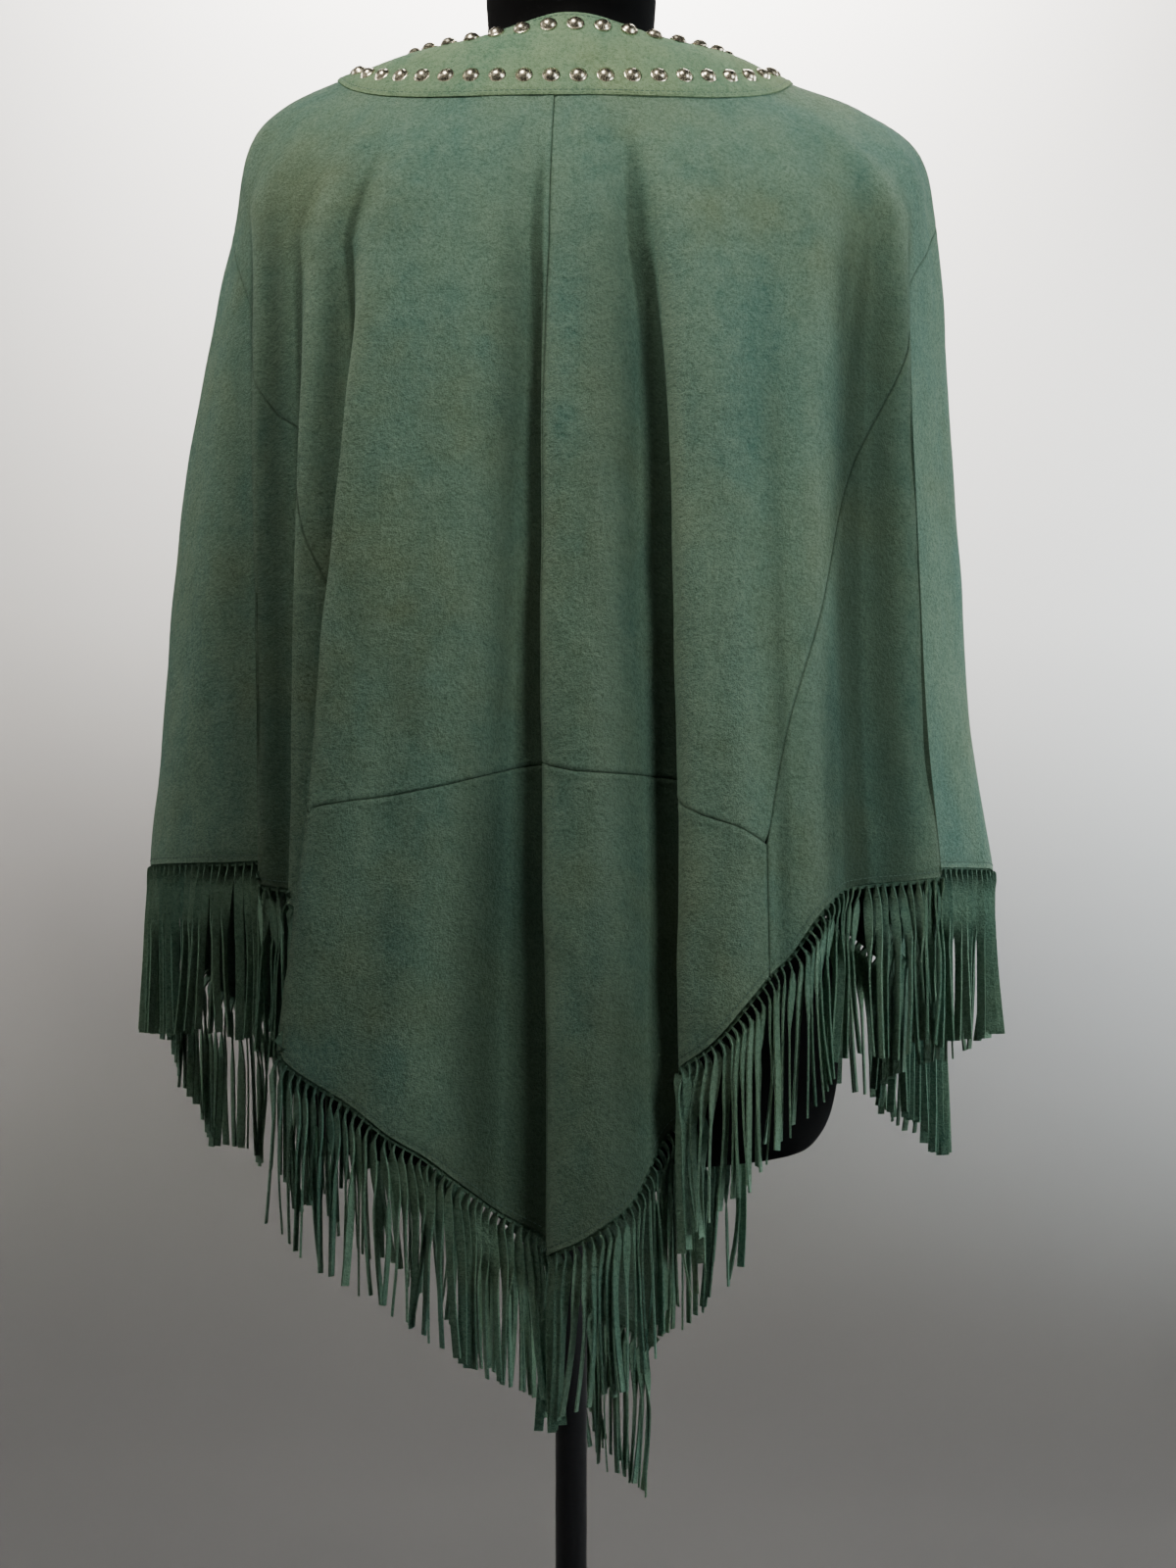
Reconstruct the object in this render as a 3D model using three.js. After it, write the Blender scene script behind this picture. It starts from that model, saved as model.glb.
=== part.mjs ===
// A pointed suede poncho with a studded yoke and a cut fringe, hung on a limbless dress form.
// Millimetres, +Z up. The origin is on the floor under the stand. The garment's back faces -Y.
import * as THREE from "three";

// ---- Driving dimensions ----

const WALL = 1.5; // thickness of the suede
const SEAM_GAP = 0.3; // clear width between two pieces at a seam
const FOLD_GAP = 0.9; // the same where a slanted seam runs through a tucked fold
const STEEPEST = 8; // the steepest slant, rise over run, that a seam's clear width allows for
const REST_GAP = 0.6; // clear width between the yoke and the form that carries it
// share is how much of a stretch of hem the strands' roots may take up.
const FRINGE = { pitch: 15, width: 8, drop: 106, strip: 5, uneven: 3, share: 0.62 };
const GOLDEN = 2.399963; // an angle in radians whose multiples never repeat

const SADDLE = 0.1; // how softly a ring turns over the back and the front
const TURN_STEP = 1e-3; // radians to either side for a ring's direction
const PLACE_STEP = 0.01; // folds to either side for the cloth's direction along
const ROW_STEP = 0.01; // rows to either side for the cloth's direction down
const HALVINGS = 40; // steps of a search for a height
const MEASURE_STEPS = 1440; // steps in which a ring's length is measured
const STUD = { across: 10, rise: 2.6, pitch: 17, crown: 0.58, sides: 6 };
const YOKE = { upperRow: 0.31, upperBand: 0.62, lowerBand: 1.3, lowerRow: 1.62, edge: 2 };
const YOKE_SETBACK = 0.6; // the yoke's edge from the middle of its seam
const FORM = { neckTop: 1462, capRise: 5, underside: 680 };
const POLE = { radius: 10.25, gap: 0.5, sides: 20 };
const BASE = { radius: 170, edge: 8, shoulder: 12, foot: 22, hub: 24, collar: 52, sides: 48 };

const SUEDE = { color: 0x5f7f6b, roughness: 0.95, metalness: 0 };
const STUDDED_SUEDE = { color: 0x8a9f8a, roughness: 0.8, metalness: 0 };
const JERSEY = { color: 0x101012, roughness: 0.9, metalness: 0 };
const BLACK_STEEL = { color: 0x151517, roughness: 0.45, metalness: 0.6 };

// Rows of values under named columns.
const table = (columns, rows) =>
  rows.map((row) => Object.fromEntries(columns.map((column, i) => [column, row[i]])));

// Rings of the garment before its folds, from the neckline down. side, back and front are the
// ring's heights there; left, right, rear and fore are its half widths; square is the exponent of
// its superellipse; flat tells how level the ring runs along the back and the front.
const SECTIONS = table(
  ["name", "side", "back", "front", "left", "right", "rear", "fore", "square", "flat"],
  [
    ["neckline", 1400, 1419, 1342, 97, 97, 62, 100, 2.0, 0.0],
    ["collar_mid", 1395, 1389, 1318, 124, 120, 82, 120, 2.05, 0.5],
    ["collar_edge", 1387, 1361, 1294, 150, 143, 97, 136, 2.1, 1.0],
    ["crown", 1371, 1325, 1262, 186, 190, 114, 149, 2.2, 1.0],
    ["shoulder", 1344, 1285, 1225, 209, 227, 126, 158, 2.3, 1.0],
    ["tip", 1290, 1235, 1185, 220, 239, 135, 166, 2.4, 1.0],
    ["upper_arm", 1196, 1166, 1132, 238, 245, 143, 173, 2.45, 1.0],
    ["elbow", 1081, 1070, 1060, 256, 252, 151, 180, 2.45, 1.0],
    ["waist", 966, 966, 966, 266, 260, 158, 186, 2.45, 1.0],
    ["side_hem", 872, 872, 872, 275, 275, 164, 190, 2.4, 1.0],
    ["hip", 780, 780, 780, 282, 281, 168, 194, 2.4, 1.0],
    ["low", 680, 680, 680, 286, 286, 172, 197, 2.4, 1.0],
    ["point", 520, 520, 520, 292, 292, 176, 200, 2.4, 1.0],
  ],
);

// The folds, once round from the left side over the back. turn is the angle round the form, from
// the middle of the back to the right, in degrees; out is how far the cloth stands off its ring.
// Both are given high, at the elbow and low down. seam is the height of the seam that ends the
// upper panel there, and hem is the height of the hem.
const FOLDS = table(
  ["name", "turnHigh", "turnMid", "turnLow", "outHigh", "outMid", "outLow", "seam", "hem"],
  [
    ["left_side", -92, -92, -92, 0, 0, 0, 1298, 874],
    ["left_flank", -86, -80, -78, 1, 2, 2, 1280, 877],
    ["flank_turn", -82, -69, -64, -1, -8, -10, 1255, 879],
    ["flank_tuck", -78, -58.5, -50, -4, -15, -16, 1222, 880],
    ["terrace_edge", -74, -64, -58, 3, -2, -4, 1186, 868],
    ["terrace", -68, -57, -52.5, 1, -4, -7, 1158, 864],
    ["terrace_tuck", -62.5, -50.5, -45, -3, -8, -11, 1145, 861],
    ["step_edge", -59, -55.5, -53.5, 4, 5, 2, 1110, 856],
    ["step", -55, -48.5, -46, 3, 2, -1, 1050, 845],
    ["pleat_tuck", -52, -38.5, -27, -1, -4, -12, 960, 816],
    ["left_corner", -49.8, -44, -40.5, 3, 7, 5, 897, 794],
    ["pleat_edge", -47, -48.5, -54.5, 6, 15, 16, 912, 766],
    ["left_panel_outer", -42, -40, -40, 6, 14, 15, 918, 739],
    ["left_panel_middle", -36, -33, -34, 5, 13, 14, 922, 717],
    ["left_panel_inner", -28, -25.5, -27, 4, 11, 12, 927, 702],
    ["left_crease", -16, -17, -20, 2, 7, 8, 933, 683],
    ["centre_valley", -11.5, -11.5, -12.5, -2, -10, -12, 938, 664],
    ["centre_tuck", -8.8, -3, -1.5, -3, -14, -16, 941, 650],
    ["centre_edge", -6, -9, -6.5, 0, -3, -3, 941, 641],
    ["centre_rise", -2, 1, 1, 3, 6, 7, 936, 650],
    ["centre_ridge", 5, 7, 7.5, 5, 12, 14, 935, 663],
    ["ridge_fall", 11.5, 13, 13, 2, 5, 6, 934, 679],
    ["dark_valley", 16.5, 19, 18.5, -6, -17, -17, 932, 714],
    ["valley_tuck", 20, 27.5, 28.5, -7, -20, -20, 928, 734],
    ["right_edge", 23, 21.3, 18.5, 1, -2, -3, 919, 753],
    ["right_rise", 29, 27, 26.5, 6, 10, 10, 909, 768],
    ["right_ridge", 36, 33.6, 33, 7, 15, 16, 902, 793],
    ["right_corner", 41, 38.2, 37, 6, 12, 13, 891, 812],
    ["right_panel", 47, 42.5, 40.5, 3, 8, 9, 962, 825],
    ["flank_ridge", 55, 48, 44.7, 6, 13, 13, 1020, 848],
    ["flank_fall", 60, 52, 49, 2, 2, 2, 1080, 862],
    ["flank_valley", 64.5, 56, 53.5, -3, -7, -7, 1130, 866],
    ["flank_rise", 68, 61.5, 59, 1, 1, 0, 1170, 868],
    ["flank_edge", 71, 69, 68, 5, 8, 7, 1215, 871],
    ["under_tuck", 73.5, 62, 60.5, -3, -9, -9, 1238, 874],
    ["outer_layer", 79, 74, 73, -1, -8, -9, 1266, 875],
    ["right_side", 90, 89, 88, 1, 6, 22, 1296, 870],
    ["side_pleat_in", 97, 96, 94, -1, -14, -84, 1275, 850],
    ["side_pleat_floor", 103, 103, 101, -1, -16, -92, 1240, 826],
    ["side_pleat_out", 109, 111, 110, 2, 4, 9, 1200, 788],
    ["front_flank", 116, 118, 118, 3, 6, 6, 1150, 792],
    ["front_dip", 123, 126, 127, -2, -6, -6, 1090, 822],
    ["front_swell", 130, 134, 136, 3, 8, 9, 1010, 846],
    ["right_front_corner", 137, 141, 143, 4, 11, 15, 891, 842],
    ["cascade_run", 142, 149, 153, 4, 12, 20, 891, 800],
    ["cascade_left_tuck", 147, 158, 178, 3, 12, 20, 891, 742],
    ["cascade_right_tuck", 152, 150, 136, 2, 4, 9, 891, 686],
    ["point_left_tuck", 157, 168, 190, 1, -3, -2, 891, 612],
    ["point_right_tuck", 162, 160, 156.5, 0, -11, -14, 891, 538],
    ["front_point", 168, 171, 171, 0, -14, -19, 891, 552],
    ["front_middle", 176, 180, 181, 0, -9, -14, 891, 577],
    ["front_left_swell", 186, 189, 190, 3, 4, 2, 891, 608],
    ["front_left_dip", 195, 197, 196.5, -1, -5, -6, 891, 634],
    ["front_left_ridge", 204, 205, 205, 3, 10, 12, 891, 664],
    ["front_left_fall", 212, 213, 213, 2, 4, 4, 891, 692],
    ["left_front_corner", 220, 221, 221, -2, -8, -9, 891, 716],
    ["left_front_rise", 228, 229, 229, 3, 8, 10, 1010, 752],
    ["left_front_ridge", 237, 237, 238, 3, 6, 8, 1100, 778],
    ["left_front_valley", 246, 246, 247, -1, -6, -8, 1168, 798],
    ["left_front_swell", 254, 254, 255, 1, 2, 3, 1225, 858],
    ["left_front_side", 261, 261, 262, 1, 3, 4, 1270, 872],
  ],
);

// Rows of SECTIONS at which the folds are given, and the row above which the cloth lies plain.
const FOLD_LEVELS = { plain: 2.1, high: 4.5, mid: 7, low: 10 };

// The trunk of the dress form below the yoke: half is its half width, rear and fore its half depths.
const TORSO = table(
  ["name", "height", "half", "rear", "fore", "square"],
  [
    ["armpit", 1262, 168, 98, 118, 2.4],
    ["bust", 1165, 166, 96, 138, 2.3],
    ["under_bust", 1085, 146, 90, 116, 2.2],
    ["waist", 985, 128, 84, 96, 2.1],
    ["belly", 900, 146, 98, 108, 2.1],
    ["hip", 800, 172, 120, 122, 2.1],
    ["seat", 752, 174, 122, 122, 2.1],
    ["lower", 722, 171, 120, 120, 2.1],
    ["under", 700, 162, 112, 112, 2.1],
    ["edge", 688, 146, 100, 100, 2.0],
    ["bottom", 682, 100, 70, 70, 2.0],
  ],
);

// ---- The surface of the garment ----

const radians = THREE.MathUtils.degToRad;
const lerp = THREE.MathUtils.lerp;
const wrap = (i, n) => ((i % n) + n) % n;
const knotOf = (name) => {
  const found = FOLDS.findIndex((fold) => fold.name === name);
  if (found < 0) throw new Error("no fold is named " + name);
  return found;
};

// A smooth curve through four values, at f between the middle two.
function smooth(a, b, c, d, f) {
  const slope = (c - a) * f;
  const bend = (2 * a - 5 * b + 4 * c - d) * f * f;
  const twist = (3 * b - a - 3 * c + d) * f ** 3;
  return b + 0.5 * (slope + bend + twist);
}

// The ring at a row of SECTIONS, which may lie between two of them.
function sectionAt(row) {
  const last = SECTIONS.length - 1;
  const i = Math.min(Math.max(Math.floor(row), 0), last - 1);
  const ring = {};
  for (const column of ["side", "back", "front", "left", "right", "rear", "fore", "square", "flat"]) {
    const b = SECTIONS[i][column];
    const c = SECTIONS[i + 1][column];
    const a = i > 0 ? SECTIONS[i - 1][column] : 2 * b - c;
    const d = i + 2 <= last ? SECTIONS[i + 2][column] : 2 * c - b;
    ring[column] = smooth(a, b, c, d, row - i);
  }
  return ring;
}

// The point of a ring's outline at a turn, as seen from above.
function outlineAt(ring, turn) {
  const sine = Math.sin(turn);
  const cosine = Math.cos(turn);
  const half = sine > 0 ? ring.right : ring.left;
  const depth = cosine > 0 ? ring.rear : ring.fore;
  const sum = Math.abs(sine / half) ** ring.square + Math.abs(cosine / depth) ** ring.square;
  const radius = sum ** (-1 / ring.square);
  return [radius * sine, -radius * cosine];
}

// The height of a ring at a turn: highest or lowest at the back and the front, level between.
function heightAt(ring, turn) {
  const cosine = Math.cos(turn);
  const level = Math.hypot(cosine, SADDLE) - SADDLE;
  const end = level / (Math.hypot(1, SADDLE) - SADDLE);
  const share = lerp(end ** 3, 1 - (1 - end) ** 3, ring.flat);
  return lerp(ring.side, cosine > 0 ? ring.back : ring.front, share);
}

// A fold's value at a row: through its three levels, held below the lowest.
function levelled(high, mid, low, row) {
  const { high: a, mid: b, low: c } = FOLD_LEVELS;
  const w = Math.min(Math.max(row, a), c);
  const atHigh = ((w - b) * (w - c)) / ((a - b) * (a - c));
  const atMid = ((w - a) * (w - c)) / ((b - a) * (b - c));
  const atLow = ((w - a) * (w - b)) / ((c - a) * (c - b));
  return high * atHigh + mid * atMid + low * atLow;
}

// The guide point of one fold at a row.
function guideAt(knot, row) {
  const fold = FOLDS[wrap(knot, FOLDS.length)];
  const ring = sectionAt(row);
  const turn = radians(levelled(fold.turnHigh, fold.turnMid, fold.turnLow, row));
  const fade = THREE.MathUtils.smoothstep(row, FOLD_LEVELS.plain, FOLD_LEVELS.high);
  const out = fade * levelled(fold.outHigh, fold.outMid, fold.outLow, row);
  const [x, y] = outlineAt(ring, turn);
  const [xa, ya] = outlineAt(ring, turn - TURN_STEP);
  const [xb, yb] = outlineAt(ring, turn + TURN_STEP);
  const run = Math.hypot(xb - xa, yb - ya);
  return [x + (out * (yb - ya)) / run, y - (out * (xb - xa)) / run, heightAt(ring, turn)];
}

// The middle of the suede at a place round the folds (whole numbers are the folds) and a row.
function clothAt(place, row) {
  const i = Math.floor(place);
  const f = place - i;
  const weights = [
    (1 - f) ** 3 / 6,
    (3 * f ** 3 - 6 * f * f + 4) / 6,
    (-3 * f ** 3 + 3 * f * f + 3 * f + 1) / 6,
    f ** 3 / 6,
  ];
  const point = new THREE.Vector3();
  weights.forEach((weight, k) => {
    point.addScaledVector(new THREE.Vector3(...guideAt(i - 1 + k, row)), weight);
  });
  return point;
}

// The unit vectors along the cloth, down it, and out of it, and how fast a place and a row move.
function frameAt(place, row) {
  const along = clothAt(place + PLACE_STEP, row).sub(clothAt(place - PLACE_STEP, row));
  const down = clothAt(place, row + ROW_STEP).sub(clothAt(place, row - ROW_STEP));
  const perPlace = along.length() / (2 * PLACE_STEP);
  const perRow = down.length() / (2 * ROW_STEP);
  const out = new THREE.Vector3().crossVectors(down, along).normalize();
  return { along: along.normalize(), down: down.normalize(), out, perPlace, perRow };
}

// The row at which the cloth at a place has a given height.
function rowAtHeight(place, height) {
  let upper = 0;
  let lower = SECTIONS.length - 1;
  for (let n = 0; n < HALVINGS; n++) {
    const middle = (upper + lower) / 2;
    if (clothAt(place, middle).z > height) upper = middle;
    else lower = middle;
  }
  return (upper + lower) / 2;
}

// A column of FOLDS at a place: straight from fold to fold, or a curve with one sharp point.
const POINT_FOLDS = ["centre_edge"].map(knotOf);
function straightColumn(column, place) {
  const i = Math.floor(place);
  const n = FOLDS.length;
  return lerp(FOLDS[wrap(i, n)][column], FOLDS[wrap(i + 1, n)][column], place - i);
}
function curvedColumn(column, place) {
  const i = Math.floor(place);
  const n = FOLDS.length;
  const [a, b, c, d] = [-1, 0, 1, 2].map((k) => FOLDS[wrap(i + k, n)][column]);
  const before = POINT_FOLDS.includes(wrap(i, n)) ? 2 * b - c : a;
  const after = POINT_FOLDS.includes(wrap(i + 1, n)) ? 2 * c - b : d;
  return smooth(before, b, c, after, place - i);
}
const seamRow = (place) => rowAtHeight(place, straightColumn("seam", place));
const hemRow = (place) => rowAtHeight(place, curvedColumn("hem", place));

// ---- Places where the pieces' columns stand ----

const PLACES = FOLDS.flatMap((fold, knot) => {
  const steps = fold.name.endsWith("tuck") ? 3 : 2;
  return Array.from({ length: steps }, (_, k) => knot + k / steps);
});
// The columns from one fold to another, going round to the right.
function placesBetween(from, to) {
  const n = FOLDS.length;
  const end = to > from ? to : to + n;
  const twice = [...PLACES, ...PLACES.map((place) => place + n)];
  return [...twice.filter((place) => place >= from && place < end), end];
}

// ---- Walls ----

// Collects triangles over shared points.
class Shell {
  constructor() {
    this.points = [];
    this.faces = [];
  }
  point(vector) {
    this.points.push(vector.x, vector.y, vector.z);
    return this.points.length / 3 - 1;
  }
  triangle(a, b, c) {
    this.faces.push(a, b, c);
  }
  quad(a, b, c, d) {
    this.faces.push(a, b, c, a, c, d);
  }
  geometry() {
    const made = new THREE.BufferGeometry();
    made.setAttribute("position", new THREE.Float32BufferAttribute(this.points, 3));
    made.setIndex(this.faces);
    return made;
  }
}

// A wall of suede over a grid of cells. columns[i][j] is a { middle, out } pair, and filled(i, j)
// tells whether the cell to the right of column i and below row j is cloth.
function wallOver(columns, filled) {
  const shell = new Shell();
  const across = columns.length - 1;
  const rows = columns[0].length - 1;
  const has = (i, j) => i >= 0 && j >= 0 && i < across && j < rows && filled(i, j);
  const outer = columns.map((column) => column.map(() => -1));
  const inner = columns.map((column) => column.map(() => -1));
  for (let i = 0; i <= across; i++) {
    for (let j = 0; j <= rows; j++) {
      if (!(has(i, j) || has(i - 1, j) || has(i, j - 1) || has(i - 1, j - 1))) continue;
      const { middle, out } = columns[i][j];
      outer[i][j] = shell.point(middle.clone().addScaledVector(out, WALL / 2));
      inner[i][j] = shell.point(middle.clone().addScaledVector(out, -WALL / 2));
    }
  }
  const rim = (i, j, k, l) => shell.quad(outer[i][j], inner[i][j], inner[k][l], outer[k][l]);
  for (let i = 0; i < across; i++) {
    for (let j = 0; j < rows; j++) {
      if (!has(i, j)) continue;
      shell.quad(outer[i][j], outer[i][j + 1], outer[i + 1][j + 1], outer[i + 1][j]);
      shell.quad(inner[i][j], inner[i + 1][j], inner[i + 1][j + 1], inner[i][j + 1]);
      if (!has(i - 1, j)) rim(i, j, i, j + 1);
      if (!has(i + 1, j)) rim(i + 1, j + 1, i + 1, j);
      if (!has(i, j - 1)) rim(i + 1, j, i, j);
      if (!has(i, j + 1)) rim(i, j + 1, i + 1, j + 1);
    }
  }
  return shell.geometry();
}

// How many rows to move down for a clear width at a seam that runs on a slant.
function seamShift(place, rowOf, width) {
  const row = rowOf(place);
  const { perPlace, perRow } = frameAt(place, row);
  const after = Math.abs(rowOf(place + PLACE_STEP) - row);
  const before = Math.abs(row - rowOf(place - PLACE_STEP));
  const slant = (Math.max(after, before) * perRow) / (PLACE_STEP * perPlace);
  return (width * Math.hypot(1, Math.min(slant, STEEPEST))) / perRow;
}
const TUCKS = FOLDS.flatMap((fold, knot) => (fold.name.endsWith("tuck") ? [knot] : []));
const inTuck = (place) => TUCKS.some((knot) => Math.abs(wrap(place, FOLDS.length) - knot) <= 1);
const gapAt = (place) => (inTuck(place) ? FOLD_GAP : SEAM_GAP);

// A panel: its places, and blocks of rows from top to bottom, each { top, bottom, rows, cells },
// where cells(place) tells whether the block reaches there. Only outer edges are set back.
function panel(from, to, blocks) {
  const places = placesBetween(from, to);
  const half = SEAM_GAP / 2;
  const columns = places.map((place, i) => {
    const lead = i === 0 ? 1 : i === places.length - 1 ? -1 : 0;
    const lowest = blocks.length - 1;
    const column = [];
    blocks.forEach((block, b) => {
      const reaches = block.cells ?? (() => true);
      const below = blocks[b + 1];
      const openBelow = b === lowest || !(below.cells ?? (() => true))(place);
      const clear = gapAt(place) / 2;
      const top = block.top(place) + (b === 0 ? seamShift(place, block.top, clear) : 0);
      const bottom = block.bottom(place) - (openBelow ? seamShift(place, block.bottom, clear) : 0);
      for (let j = b === 0 ? 0 : 1; j <= block.rows; j++) {
        const row = lerp(top, bottom, j / block.rows);
        const corner = b > 0 && j > 0 ? cornerLead(reaches, places, i) : lead;
        const shift = (half * corner) / frameAt(place, row).perPlace;
        const middle = clothAt(place + shift, row);
        column.push({ middle, out: frameAt(place + shift, row).out });
      }
    });
    return column;
  });
  const starts = blocks.map((_, b) => blocks.slice(0, b).reduce((sum, one) => sum + one.rows, 0));
  const filled = (i, j) => {
    const b = blocks.findLastIndex((_, k) => j >= starts[k]);
    const reaches = blocks[b].cells ?? (() => true);
    return reaches(places[i]) && reaches(places[i + 1]);
  };
  return wallOver(columns, filled);
}

// Which way a lower block's end column is set back: into the block.
function cornerLead(reaches, places, i) {
  if (!reaches(places[i])) return 0;
  if (i === 0 || !reaches(places[i - 1])) return 1;
  if (i === places.length - 1 || !reaches(places[i + 1])) return -1;
  return 0;
}

// ---- The cloth panels ----

const LEFT = knotOf("left_side");
const LEFT_CORNER = knotOf("left_corner");
const CENTRE = knotOf("centre_edge");
const RIGHT_CORNER = knotOf("right_corner");
const RIGHT = knotOf("right_side");
const RIGHT_FRONT_CORNER = knotOf("right_front_corner");
const LEFT_FRONT_CORNER = knotOf("left_front_corner");
const AROUND = FOLDS.length;
const yokeEdge = () => YOKE.edge;

const upperBack = (from, to) => panel(from, to, [{ top: yokeEdge, bottom: seamRow, rows: 7 }]);
const underSeam = (from, to) => panel(from, to, [{ top: seamRow, bottom: hemRow, rows: 5 }]);
const underFrontSeam = (place) => place >= RIGHT_FRONT_CORNER && place <= LEFT_FRONT_CORNER;
const frontPanel = () =>
  panel(RIGHT, AROUND + LEFT, [
    { top: yokeEdge, bottom: seamRow, rows: 7 },
    { top: seamRow, bottom: hemRow, rows: 5, cells: underFrontSeam },
  ]);

// ---- The yoke and its studs ----

// Places that stand a stud's pitch apart along a row of the yoke.
function placesByPitch(row, pitch) {
  const steps = Array.from({ length: MEASURE_STEPS + 1 }, (_, k) => (k * AROUND) / MEASURE_STEPS);
  const points = steps.map((place) => clothAt(place, row));
  const lengths = [0];
  for (let k = 1; k <= MEASURE_STEPS; k++) {
    lengths.push(lengths[k - 1] + points[k].distanceTo(points[k - 1]));
  }
  const whole = lengths[MEASURE_STEPS];
  const count = Math.round(whole / pitch);
  const places = [];
  let k = 0;
  for (let n = 0; n < count; n++) {
    const wanted = (n * whole) / count;
    while (lengths[k + 1] < wanted) k++;
    const share = (wanted - lengths[k]) / (lengths[k + 1] - lengths[k]);
    places.push(lerp(steps[k], steps[k + 1], share));
  }
  return places;
}

// A closed ring of points at a row, moved out of the cloth's middle.
function ringAt(shell, places, row, out) {
  return places.map((place) => {
    const point = clothAt(place, row).addScaledVector(frameAt(place, row).out, out);
    return shell.point(point);
  });
}

// Joins two closed rings of points that may differ in number; upper faces out above lower.
function zip(shell, upper, lower, upperPlaces, lowerPlaces) {
  let i = 0;
  let j = 0;
  while (i < upper.length || j < lower.length) {
    const nextUpper = i < upper.length ? (upperPlaces[i + 1] ?? AROUND) : Infinity;
    const nextLower = j < lower.length ? (lowerPlaces[j + 1] ?? AROUND) : Infinity;
    const a = upper[i % upper.length];
    const b = lower[j % lower.length];
    if (nextUpper <= nextLower) {
      shell.triangle(a, b, upper[(i + 1) % upper.length]);
      i++;
    } else {
      shell.triangle(a, b, lower[(j + 1) % lower.length]);
      j++;
    }
  }
}

// A band of cells with a raised stud in each, between a ring above and a ring below.
function studBand(shell, places, upper, middle, lower, studRow) {
  const count = places.length;
  for (let n = 0; n < count; n++) {
    const next = (n + 1) % count;
    const end = next === 0 ? places[0] + AROUND : places[next];
    const centrePlace = (places[n] + end) / 2;
    const { along, down, out } = frameAt(centrePlace, studRow);
    const centre = clothAt(centrePlace, studRow).addScaledVector(out, WALL / 2);
    const ring = (radius, rise) =>
      Array.from({ length: STUD.sides }, (_, k) => {
        const angle = (k * 2 * Math.PI) / STUD.sides;
        const point = centre.clone().addScaledVector(along, radius * Math.cos(angle));
        point.addScaledVector(down, -radius * Math.sin(angle)).addScaledVector(out, rise);
        return shell.point(point);
      });
    const rim = ring(STUD.across / 2, 0);
    const crown = ring((STUD.crown * STUD.across) / 2, STUD.rise);
    const cell = [middle[next], upper[next], upper[n], middle[n], lower[n], lower[next]];
    for (let k = 0; k < STUD.sides; k++) {
      const m = (k + 1) % STUD.sides;
      shell.quad(cell[k], cell[m], rim[m], rim[k]);
      shell.quad(rim[k], rim[m], crown[m], crown[k]);
    }
    for (let k = 1; k < STUD.sides - 1; k++) shell.triangle(crown[0], crown[k], crown[k + 1]);
  }
}

const upperPlaces = placesByPitch(YOKE.upperRow, STUD.pitch);
const lowerPlaces = placesByPitch(YOKE.lowerRow, STUD.pitch);

function yoke() {
  const shell = new Shell();
  const half = WALL / 2;
  const edge = YOKE.edge - YOKE_SETBACK / frameAt(CENTRE, YOKE.edge).perRow;
  const ring = (places, row, out) => ringAt(shell, places, row, out);
  const neck = ring(upperPlaces, 0, half);
  const upperMiddle = ring(upperPlaces, YOKE.upperRow, half);
  const upperEnd = ring(upperPlaces, YOKE.upperBand, half);
  const lowerStart = ring(lowerPlaces, YOKE.lowerBand, half);
  const lowerMiddle = ring(lowerPlaces, YOKE.lowerRow, half);
  const lowerEnd = ring(lowerPlaces, edge, half);
  const innerNeck = ring(upperPlaces, 0, -half);
  const innerMiddle = ring(upperPlaces, 1, -half);
  const innerEnd = ring(lowerPlaces, edge, -half);
  studBand(shell, upperPlaces, neck, upperMiddle, upperEnd, YOKE.upperRow);
  zip(shell, upperEnd, lowerStart, upperPlaces, lowerPlaces);
  studBand(shell, lowerPlaces, lowerStart, lowerMiddle, lowerEnd, YOKE.lowerRow);
  zip(shell, lowerEnd, innerEnd, lowerPlaces, lowerPlaces);
  zip(shell, innerEnd, innerMiddle, lowerPlaces, upperPlaces);
  zip(shell, innerMiddle, innerNeck, upperPlaces, upperPlaces);
  zip(shell, innerNeck, neck, upperPlaces, upperPlaces);
  return shell.geometry();
}

// ---- The fringe ----

// The four corners of the strip's section under the hem at a place.
function stripAt(place, setBack) {
  const row = hemRow(place);
  const { perPlace } = frameAt(place, row);
  const at = place + setBack / perPlace;
  const top = hemRow(at) + seamShift(at, hemRow, gapAt(place));
  const bottom = top + FRINGE.strip / frameAt(at, top).perRow;
  const upper = clothAt(at, top);
  const lower = clothAt(at, bottom);
  const { out } = frameAt(at, top);
  const side = (point, sign) => point.clone().addScaledVector(out, (sign * WALL) / 2);
  return [side(upper, 1), side(upper, -1), side(lower, 1), side(lower, -1)];
}

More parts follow.
